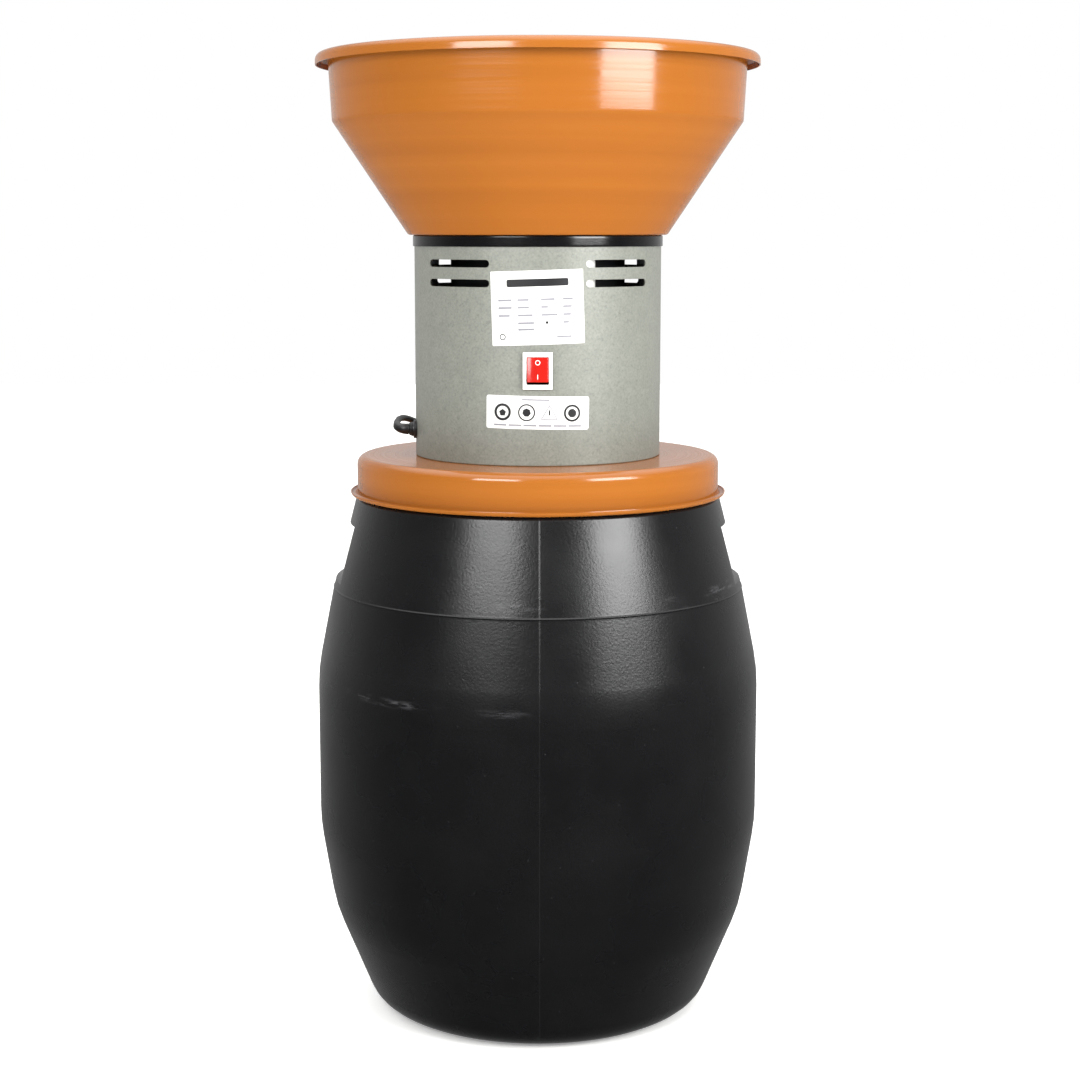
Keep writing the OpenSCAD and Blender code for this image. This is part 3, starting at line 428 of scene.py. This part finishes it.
def rod(name, centre, radius, length, turn=(0, 0, 0), sides=64):
    """A round cutter in mm, used only to cut a hole."""
    bpy.ops.object.select_all(action="DESELECT")
    bpy.ops.mesh.primitive_cylinder_add(vertices=sides, radius=radius / 1000, depth=length / 1000)
    cutter = bpy.context.object
    cutter.name = name
    return put(cutter, centre, turn)


lid = turned("spun_lid", bent([
    (17, 518, 0), (166.7, 518, 8), (166.7, 482.4, 2.6), (171.9, 482.4, 2.6), (171.9, 485, 0),
]), 192)
apply_modifier(lid, "SOLIDIFY", thickness=0.0012, offset=-1)
cut(lid, rod("feed_hole", (0, 94, 518), 12.5, 10))
rounded_off(lid, 40)
# Stoved orange enamel on spun steel: a hard gloss over tool lines about 1.2 mm apart, with a
# slight orange peel and a few grains of dust in the paint
enamel = empty_material("orange_enamel")
place = add_node(enamel, "TexCoord").outputs["Object"]
axes = add_node(enamel, "SeparateXYZ", {"Vector": place})
flat = add_node(enamel, "CombineXYZ", {"X": axes.outputs["X"], "Y": axes.outputs["Y"]})
radius = add_node(enamel, "VectorMath", {0: flat}, operation="LENGTH").outputs["Value"]
across = add_node(enamel, "CombineXYZ", {"X": radius, "Y": axes.outputs["Z"]})
slight = add_node(enamel, "VectorMath", {0: place, "Scale": 0.012}, operation="SCALE")
across = add_node(enamel, "VectorMath", {0: across, 1: slight}, operation="ADD")
lines = add_node(enamel, "TexNoise", {"Vector": across, "Scale": 1000 / 1.6, "Detail": 2, "Roughness": 0.6})
broad = add_node(enamel, "TexNoise", {"Vector": across, "Scale": 1000 / 14, "Detail": 3})
peel = add_node(enamel, "TexNoise", {"Vector": place, "Scale": 1000 / 3, "Detail": 2})
dust = add_node(enamel, "TexVoronoi", {"Vector": place, "Scale": 1000 / 9})
dust = add_node(enamel, "MapRange", {"Value": dust, "From Min": 0.03, "From Max": 0.05, "To Min": 0.5, "To Max": 0})
tone = add_node(enamel, "MapRange", {"Value": broad, "From Min": 0.3, "From Max": 0.7})
paint = add_node(enamel, "MixRGB", {"Fac": tone, "Color1": linear("#94561e"), "Color2": linear("#9d5d21")})
paint = add_node(enamel, "MixRGB", {"Fac": dust, "Color1": paint, "Color2": linear("#a0561b")})
height = add_node(enamel, "Math", {0: lines, 1: broad}, operation="ADD")
height = add_node(enamel, "Math", {0: peel, 1: 0.5, 2: height}, operation="MULTIPLY_ADD")
bump = add_node(enamel, "Bump", {"Height": height, "Strength": 0.4, "Distance": 0.00004})
gloss = add_node(enamel, "MapRange", {"Value": lines, "From Min": 0.3, "From Max": 0.7, "To Min": 0.1, "To Max": 0.2})
shader = add_node(enamel, "BsdfPrincipled", {
    "Base Color": paint, "Roughness": gloss, "IOR": 1.52, "Normal": bump,
})
add_node(enamel, "OutputMaterial", {"Surface": shader})
fit(lid, "head", enamel, "orange_paint", "lid")

# ---- Motor housing ----
# Steel sheet rolled to a cylinder and welded at the back, with a flange turned in at its foot.
# Four groups of two slots cool the motor, and windows hold the switch and the gland.
housing = turned("motor_housing", bent([(99.5, 518, 0), (112.5, 518, 1.2), (112.5, 713, 0)]), 256)
apply_modifier(housing, "SOLIDIFY", thickness=0.0012, offset=-1)
cutters = []
for angle in (50, 130, 230, 310):
    for height in (676.5, 693.5):
        slot_cutter = block("slot_cutter", (0, 0, 0), (24, 69.8, 6.6))
        bpy.ops.object.mode_set(mode="EDIT")
        bpy.ops.mesh.select_mode(type="EDGE")
        bpy.ops.object.mode_set(mode="OBJECT")
        corners = slot_cutter.data.vertices
        for edge in slot_cutter.data.edges:
            edge.select = abs(corners[edge.vertices[0]].co.x - corners[edge.vertices[1]].co.x) > 0.01
        bpy.ops.object.mode_set(mode="EDIT")
        bpy.ops.mesh.bevel(offset=0.00329, segments=8)
        bpy.ops.object.mode_set(mode="OBJECT")
        cutters.append(put(slot_cutter, (
            112.5 * math.cos(math.radians(angle)), 112.5 * math.sin(math.radians(angle)), height,
        ), (0, 0, angle)))
cutters.append(put(block("switch_cutter", (0, 0, 0), (22.4, 20, 26.9)), (0, -112.5, 601.5), (0, 0, 0)))
cutters.append(rod("gland_cutter", (-111.4, -15.66, 542), 6.25, 12, (0, 90, 188)))
cutters.append(rod("feed_cutter", (0, 94, 518), 14.3, 10))
cut(housing, *cutters)
rounded_off(housing, 40)
bpy.ops.object.select_all(action="DESELECT")
bpy.ops.mesh.primitive_cylinder_add(vertices=16, radius=0.0016, depth=0.188, location=(0, 0.1119, 0.6125))
weld = bpy.context.object
weld.name = weld.data.name = "housing_weld"
bpy.ops.object.transform_apply(location=True, rotation=True, scale=True)
bpy.ops.object.mode_set(mode="EDIT")
for i in range(1, 94):
    bpy.ops.mesh.select_all(action="SELECT")
    bpy.ops.mesh.bisect(plane_co=(0, 0, 0.5185 + 0.002 * i), plane_no=(0, 0, 1))
bpy.ops.mesh.select_mode(type="VERT")
bpy.ops.mesh.select_all(action="DESELECT")
bpy.ops.object.mode_set(mode="OBJECT")
for vertex in weld.data.vertices:
    vertex.select = round((vertex.co.z - 0.5185) / 0.002) % 2 == 1
bpy.ops.object.mode_set(mode="EDIT")
bpy.ops.transform.resize(value=(1.25, 1.3, 1), center_override=(0, 0.1119, 0.6))
bpy.ops.object.mode_set(mode="OBJECT")
rounded_off(weld, 60)
# Hammertone enamel: a grey-green lacquer with aluminium flake that dries in cells of about
# 1.5 mm, each a little darker at its rim
hammertone = empty_material("hammertone_enamel")
place = add_node(hammertone, "TexCoord").outputs["Object"]
warp = add_node(hammertone, "TexNoise", {"Vector": place, "Scale": 1000 / 3, "Detail": 2})
warp = add_node(hammertone, "VectorMath", {0: warp.outputs["Color"], "Scale": 0.0012}, operation="SCALE")
warped = add_node(hammertone, "VectorMath", {0: place, 1: warp}, operation="ADD")
cells = add_node(hammertone, "TexVoronoi", {"Vector": warped, "Scale": 1000 / 1.9}, feature="SMOOTH_F1")
speck = add_node(hammertone, "TexNoise", {"Vector": place, "Scale": 1000 / 1.3, "Detail": 3, "Roughness": 0.7})
cloud = add_node(hammertone, "TexNoise", {"Vector": place, "Scale": 1000 / 9, "Detail": 3})
rim = add_node(hammertone, "MapRange", {"Value": cells, "From Min": 0.15, "From Max": 0.75})
grey = add_node(hammertone, "MixRGB", {"Fac": rim, "Color1": linear("#8e9087"), "Color2": linear("#6b6e67")})
dots = add_node(hammertone, "MapRange", {"Value": speck, "From Min": 0.35, "From Max": 0.65})
grey = add_node(hammertone, "MixRGB", {"Fac": dots, "Color1": grey, "Color2": linear("#85877f")})
drift = add_node(hammertone, "MapRange", {"Value": cloud, "From Min": 0.3, "From Max": 0.7, "To Max": 0.35})
grey = add_node(hammertone, "MixRGB", {"Fac": drift, "Color1": grey, "Color2": linear("#72756e")})
sheen = add_node(hammertone, "MapRange", {"Value": speck, "To Min": 0.34, "To Max": 0.5})
bump = add_node(hammertone, "Bump", {"Height": cells, "Strength": 0.4, "Distance": 0.00008})
shader = add_node(hammertone, "BsdfPrincipled", {
    "Base Color": grey, "Metallic": 0.1, "Roughness": sheen, "Normal": bump,
})
add_node(hammertone, "OutputMaterial", {"Surface": shader})
fit(housing, "head", hammertone, "hammertone_paint", "housing_shell")
fit(weld, "head", hammertone, "hammertone_paint")

# ---- Rivets, bolts and brackets ----
# Bright zinc plate on steel, which is slightly blue and shows a fine crystal grain.
zinc = grained("bright_zinc", "#bfc3c6", "#a4a9ad", 0.5, 0.01, 0.3, metallic=1.0)
coat(zinc, "housing_rivets", "hopper_brackets", "hopper_bolts", "hopper_nuts", "cowl_screws",
     "motor_bolts", "capacitor_clip", "rotor_bolt", "cover_studs", "wing_nuts", "guide_rivets")

# ---- Edge trim ----
# A glossy black PVC profile pushed over the housing's upper edge. The hopper rests on it.
edge_trim = turned("edge_profile", bent([
    (109.9, 708, 0), (111.2, 708, 0), (111.2, 713.1, 0), (112.6, 713.1, 0), (112.6, 708, 0),
    (113.9, 708, 0.6), (113.9, 718, 1.6), (109.9, 718, 1.6), (109.9, 708, 0),
]), 192)
rounded_off(edge_trim, 45)
# Extruded PVC, glossier than the lead, with faint lines along the extrusion
trim_pvc = grained("extruded_pvc", "#060607", "#0c0c0e", 0.8, 0.02, 0.16, ior=1.53, stretch=(0.2, 0.2, 1))
fit(edge_trim, "head", trim_pvc, "black_trim", "edge_trim")

# ---- Labels ----
# Two printed vinyl stickers wrapped round the front of the housing. Plain bars, discs and a
# triangle stand for the print.
# Glossy white vinyl, printed in black and in a pale grey
vinyl = grained("white_vinyl", "#e6e6e4", "#dededc", 2.0, 0.01, 0.35)
black_ink = grained("black_ink", "#161618", "#202024", 0.6, 0.005, 0.45)
grey_ink = grained("grey_ink", "#8f8f94", "#808086", 0.6, 0.005, 0.5)


def printed(name, centre, size, ink, corner=0.0, sides=0, hole=0.0, lift=0.12):
    """One flat mark in mm, standing in the XZ plane: a rectangle, or a disc or ring with sides."""
    bpy.ops.object.select_all(action="DESELECT")
    if sides:
        bpy.ops.mesh.primitive_circle_add(vertices=sides, radius=size[0] / 2000, fill_type="NGON")
    else:
        bpy.ops.mesh.primitive_plane_add(size=1)
    mark = bpy.context.object
    mark.name = name
    if not sides:
        mark.scale = (size[0] / 1000, size[1] / 1000, 1)
    bpy.ops.object.transform_apply(location=True, rotation=True, scale=True)
    bpy.ops.object.mode_set(mode="EDIT")
    bpy.ops.mesh.select_mode(type="FACE")
    bpy.ops.mesh.select_all(action="SELECT")
    if hole:
        bpy.ops.mesh.inset(thickness=hole / 1000)
        bpy.ops.mesh.delete(type="FACE")
    elif corner:
        bpy.ops.mesh.select_mode(type="VERT")
        bpy.ops.mesh.select_all(action="SELECT")
        bpy.ops.mesh.bevel(offset=corner / 1000, segments=5, affect="VERTICES")
    bpy.ops.object.mode_set(mode="OBJECT")
    put(mark, (0, 0, 0), (90, 0, 0))
    put(mark, (centre[0], -lift, centre[1]), (0, 0, 0))
    mark.data.materials.append(ink)
    return mark


def wrapped(name, marks, height, turn):
    """Joins marks to one sticker, slices it upright every 2 mm, and wraps it on the housing."""
    bpy.ops.object.select_all(action="DESELECT")
    for mark in marks:
        mark.select_set(True)
    bpy.context.view_layer.objects.active = marks[0]
    bpy.ops.object.join()
    sticker = bpy.context.object
    sticker.name = sticker.data.name = name
    put(sticker, (0, 0, 0), (0, turn, 0))
    width = sticker.dimensions.x
    bpy.ops.object.mode_set(mode="EDIT")
    slices = math.ceil(width / 0.002)
    for i in range(1, slices):
        bpy.ops.mesh.select_all(action="SELECT")
        bpy.ops.mesh.bisect(plane_co=(-width / 2 + width * i / slices, 0, 0), plane_no=(1, 0, 0))
    bpy.ops.object.mode_set(mode="OBJECT")
    apply_modifier(sticker, "SIMPLE_DEFORM", deform_method="BEND", deform_axis="Z", angle=width / 0.1126)
    put(sticker, (0, -112.6, height), (0, 0, 0))
    return rounded_off(sticker, 30)


marks = [printed("sticker", (0, 0), (82, 64), vinyl, corner=0.8, lift=0)]
marks.append(printed("heading", (0.5, 21.5), (54, 6.5), black_ink, corner=1.5))
for row, (height, widths) in enumerate((
    (7, (12, 10, 12, 9)), (0.5, (12, 10, 6, 8)), (-6.3, (10, 13, 14, 7)), (-13, (0, 14, 0, 5)), (-18.5, (0, 14, 0, 0)),
)):
    for left, width in zip((-34.5, -17.5, 3, 22), widths):
        if width:
            marks.append(printed("entry", (left + width / 2, height), (width, 1.8), grey_ink))
marks.append(printed("dot", (7.7, -13), (2.4, 2.4), black_ink, sides=24))
marks.append(printed("mark_ring", (-31.5, -24.5), (5.5, 5.5), black_ink, sides=32, hole=0.8))
marks.append(printed("foot_bar", (22.5, -25.5), (13, 1.5), grey_ink))
rating_sticker = wrapped("rating_sticker", marks, 656, -1.8)
fit(rating_sticker, "head", None, "label", "rating_plate")

marks = [printed("sticker", (0, 0), (92, 29), vinyl, corner=2, lift=0)]
for x, ring in ((-31, 2.2), (-9.7, 1.2), (30.4, 1.8)):
    marks.append(printed("disc_ring", (x, 0), (15, 15), black_ink, sides=48, hole=ring))
marks.append(printed("disc_core", (-31, -0.5), (6.5, 6.5), black_ink, sides=5))
marks.append(printed("disc_core", (-9.7, 0), (7.5, 7.5), black_ink, sides=7))
marks.append(printed("disc_core", (30.4, 0), (7.5, 7.5), black_ink, sides=32))
triangle = printed("triangle", (10.3, -1.5), (17.5, 17.5), grey_ink, sides=3, hole=0.7)
marks.append(triangle)
marks.append(printed("triangle_bar", (10.3, 0.2), (1.2, 4.5), black_ink, corner=0.4))
marks.append(printed("head_bar", (-2, 11.2), (24, 1.3), grey_ink))
for i in range(6):
    marks.append(printed("foot_bar", (-33 + i * 13.2, -11.2), (11.4, 1.5), grey_ink))
safety_sticker = wrapped("safety_sticker", marks, 565, 1)
fit(safety_sticker, "head", None, "label", "safety_label")

# ---- Switch ----
# A panel rocker switch: a white frame snapped into the housing, and a clear red rocker with
# O and I marks that tips on a pin. The O half is pressed in.
bezel = block("switch_bezel", (0, -113.8, 601.5), (26, 2.4, 32.5))
for side in (-1, 1):
    edit_faces(bezel, lambda face: face.normal.y * side > 0.5 and face.area > 0.0001)
    bpy.ops.mesh.inset(thickness=0.0033)
    bpy.ops.transform.resize(value=(1, 1, 23.9 / 25.9), center_override=(0, -0.1138, 0.6015))
    bpy.ops.object.mode_set(mode="OBJECT")
edit_faces(bezel, lambda face: abs(face.normal.y) > 0.5 and abs(face.center.x) < 0.001 and abs(face.center.z - 0.6015) < 0.001)
bpy.ops.mesh.bridge_edge_loops()
bpy.ops.object.mode_set(mode="OBJECT")
apply_modifier(bezel, "BEVEL", width=0.0007, segments=3, limit_method="ANGLE")
rounded_off(bezel, 35)
# Moulded white nylon, satin
white_nylon = grained("white_nylon", "#f2f2ed", "#eaeae6", 0.7, 0.01, 0.35, ior=1.53)
fit(bezel, "head", white_nylon, "white_plastic", "switch_frame")
coat(white_nylon, "capacitor")

rocker = block("switch_key", (0, -3.5, 0), (18.8, 9, 21.9))
edit_faces(rocker, lambda face: True)
bpy.ops.mesh.bisect(plane_co=(0, 0, 0), plane_no=(0, 0, 1))
bpy.ops.mesh.select_mode(type="VERT")
bpy.ops.object.mode_set(mode="OBJECT")
for vertex in rocker.data.vertices:
    if abs(vertex.co.z) < 0.001:
        vertex.co.y += 0.0012 if vertex.co.y < 0 else 0.0025
    elif vertex.co.y > 0:
        vertex.co.z *= 0.81
apply_modifier(rocker, "BEVEL", width=0.0007, segments=3, limit_method="ANGLE", angle_limit=math.radians(20))
rounded_off(rocker, 30)
put(rocker, (0, -108.6, 601.5), (-8, 0, 0))
# Clear red polycarbonate: deep red with a hard gloss and some light inside it
red_pc = grained("clear_red_pc", "#a3150f", "#b41d15", 1.5, 0.01, 0.12, ior=1.58)
fit(rocker, "rocker", red_pc, "red_plastic", "switch_rocker")

bpy.ops.object.select_all(action="DESELECT")
bpy.ops.mesh.primitive_torus_add(
    major_segments=40, minor_segments=10, major_radius=0.0019, minor_radius=0.00035,
    location=(0, -0.00755, 0.0062), rotation=(math.radians(96.5), 0, 0),
)
o_mark = bpy.context.object
bpy.ops.object.transform_apply(location=True, rotation=True, scale=True)
i_mark = block("i_mark", (0, -7.55, -6.2), (0.7, 0.5, 4.2))
apply_modifier(i_mark, "BEVEL", width=0.00018, segments=2)
bpy.ops.object.select_all(action="DESELECT")
o_mark.select_set(True)
i_mark.select_set(True)
bpy.context.view_layer.objects.active = o_mark
bpy.ops.object.join()
switch_marks = bpy.context.object
switch_marks.name = switch_marks.data.name = "switch_marks"
put(rounded_off(switch_marks), (0, -108.6, 601.5), (-8, 0, 0))
# White ink, raised a little on the key
fit(switch_marks, "rocker", white_nylon, "white_plastic")

# ---- Hopper ----
# A steel sheet spun to a cone with a short upright wall and a rolled lip, and painted like the
# lid. It is bolted to the housing through three spacers.
hopper = turned("spun_hopper", bent([
    (0, 718, 0), (118, 718, 4), (185.6, 819, 3), (188.8, 877.3, 5), (193.8, 877.3, 0),
    (198.8, 877.3, 5), (198.8, 868.3, 0),
]), 256)
apply_modifier(hopper, "SOLIDIFY", thickness=0.0012, offset=-1)
cut(hopper, rod("feed_hole", (0, 94, 718), 12.5, 10))
rounded_off(hopper, 40)
fit(hopper, "head", enamel, "orange_paint", "hopper")

# ---- Feed chute and gate ----
# A galvanised tube takes the grain past the motor. A sheet slide over it, in two riveted
# guides, sets the flow and is pulled by a knob.
# Galvanised sheet: grey zinc with soft spangle about 12 mm across
galvanised = grained("galvanised_sheet", "#a9adb0", "#8f9497", 5.0, 0.02, 0.42, metallic=0.9)
coat(galvanised, "feed_chute", "gate_guides", "feed_gate", "sieve_ring", "sieve_cover")
knob = turned("gate_knob_grip", bent([
    (0, -5, 0), (2, -5, 0.2), (2, 0, 0), (6.2, 0, 0.6), (6.9, 2, 0.5), (6.9, 9, 0.6), (5.4, 10.9, 1.0), (0, 10.6, 0),
]), 48)
edit_faces(knob, lambda face: 0.0022 < face.center.z < 0.0085
           and math.hypot(face.center.x, face.center.y) > 0.0065
           and math.degrees(math.atan2(face.center.y, face.center.x)) % 30 < 14)
bpy.ops.mesh.inset(thickness=0.0003, depth=-0.0005)
bpy.ops.object.mode_set(mode="OBJECT")
put(rounded_off(knob, 40), (0, 76, 729.2), (90, 0, 0))
# Moulded phenolic: hard black plastic with a polished face
phenolic = grained("black_phenolic", "#141416", "#1d1d20", 0.9, 0.01, 0.25, ior=1.6)
fit(knob, "gate", phenolic, "black_plastic", "gate_knob")

# ---- Motor ----
# A capacitor motor with a finned aluminium body between two cast end shields, and a black
# sheet cowl over its fan. It hangs from the lid with its shaft downwards.
# Die-cast aluminium, shot-blasted: matt and a little uneven
cast_aluminium = grained("cast_aluminium", "#9da0a2", "#8a8d90", 0.9, 0.06, 0.55, metallic=0.85)
coat(cast_aluminium, "lower_end_shield", "upper_end_shield")
# Black stoving enamel on the motor's body and cowl
black_enamel = grained("black_enamel", "#17181a", "#202124", 1.2, 0.02, 0.38)
coat(black_enamel, "motor_can", "fan_cowl")
# Stacked electrical steel, 0.5 mm a sheet, drawn as lines of 1 mm across the axis
laminations = grained("stacked_laminations", "#6d7073", "#56595c", 2.0, 0.1, 0.45, metallic=0.9, stretch=(0.05, 0.05, 2))
coat(laminations, "stator_core", "rotor_core")
# Enamelled copper wire, varnished
copper = grained("enamelled_copper", "#a4512a", "#7d3a1d", 1.2, 0.3, 0.35, metallic=0.7)
coat(copper, "stator_windings")
# Ground bearing steel, and a turned shaft with fine lines round it
bearing_steel = grained("ground_bearing_steel", "#b4b6b8", "#a2a5a7", 0.6, 0.01, 0.2, metallic=1.0)
coat(bearing_steel, "lower_bearing", "upper_bearing")
shaft_steel = grained("turned_shaft_steel", "#a8aaac", "#909294", 0.7, 0.02, 0.3, metallic=1.0, stretch=(0.1, 0.1, 1))
coat(shaft_steel, "motor_shaft", "rotor_spacer")

# ---- Leads and seal ----
# Two sheathed leads join gland, switch and motor, and a felt ring keeps dust off the shaft.
coat(cord_pvc, "supply_lead", "motor_lead")
felt = grained("pressed_felt", "#b9b2a2", "#a49c8a", 0.8, 0.3, 0.95)
coat(felt, "shaft_seal")

# ---- Mill ----
# Four hammers of hardened steel swing on pins in a plate on the motor's shaft.
# Hardened steel, blued by its heat treatment and worn bright in use
tool_steel = grained("hardened_tool_steel", "#74777b", "#5b5e63", 0.8, 0.04, 0.38, metallic=1.0)
coat(tool_steel, "rotor_plate", "hammer_pins", "hammer_1", "hammer_2", "hammer_3", "hammer_4")

# ---- Studio ----
# A white sweep, a tall softbox to the right, a lower and shorter one to the left, and a pale
# surround that is darker behind the camera, so that the black barrel keeps its depth.
bpy.ops.object.select_all(action="DESELECT")
bpy.ops.mesh.primitive_plane_add(size=12, location=(0, 2, -0.0005))
floor = bpy.context.object
floor.name = "studio_floor"
pale = grained("pale_floor", "#f4f4f2", "#f1f1ef", 30, 0.01, 0.8)
pale.node_tree.nodes["Principled BSDF"].inputs["Emission Color"].default_value = (1, 1, 1, 1)
pale.node_tree.nodes["Principled BSDF"].inputs["Emission Strength"].default_value = 0.3
floor.data.materials.append(pale)
floor.visible_glossy = False
for name, place, width, height, power in (
    ("right_softbox", (1.39, -1.30, 1.22), 1.0, 0.92, 44),
    ("left_softbox", (-0.82, -1.70, 1.34), 0.95, 0.76, 28),
):
    aim = Vector((0, 0, place[2])) - Vector(place)
    bpy.ops.object.light_add(type="AREA", location=place, rotation=aim.to_track_quat("-Z", "Y").to_euler())
    lamp = bpy.context.object
    lamp.name = name
    lamp.data.shape = "RECTANGLE"
    lamp.data.size, lamp.data.size_y = width, height
    lamp.data.energy = power
world = bpy.data.worlds.new("studio")
bpy.context.scene.world = world
world.use_nodes = True
world.node_tree.nodes.clear()
ray = add_node(world, "LightPath")
way = add_node(world, "SeparateXYZ", {"Vector": add_node(world, "TexCoord").outputs["Generated"]})
surround = add_node(world, "MapRange", {
    "Value": way.outputs["Y"], "From Min": -0.2, "From Max": 0.9, "To Min": 0.1, "To Max": 0.64,
})
above = add_node(world, "MapRange", {
    "Value": way.outputs["Z"], "From Min": -0.25, "From Max": 0.05, "To Min": 0.5, "To Max": 1.0,
})
surround = add_node(world, "Math", {0: surround, 1: above}, operation="MULTIPLY")
zenith = add_node(world, "MapRange", {
    "Value": way.outputs["Z"], "From Min": 0.5, "From Max": 0.95, "To Min": 0.0, "To Max": 2.8,
})
surround = add_node(world, "Math", {0: surround, 1: zenith}, operation="ADD")
level = add_node(world, "MixRGB", {
    "Fac": ray.outputs["Is Camera Ray"], "Color1": surround, "Color2": (1, 1, 1, 1),
})
glow = add_node(world, "Background", {"Color": level, "Strength": 1.0})
add_node(world, "OutputWorld", {"Surface": glow})
bpy.context.scene.view_settings.view_transform = "Standard"
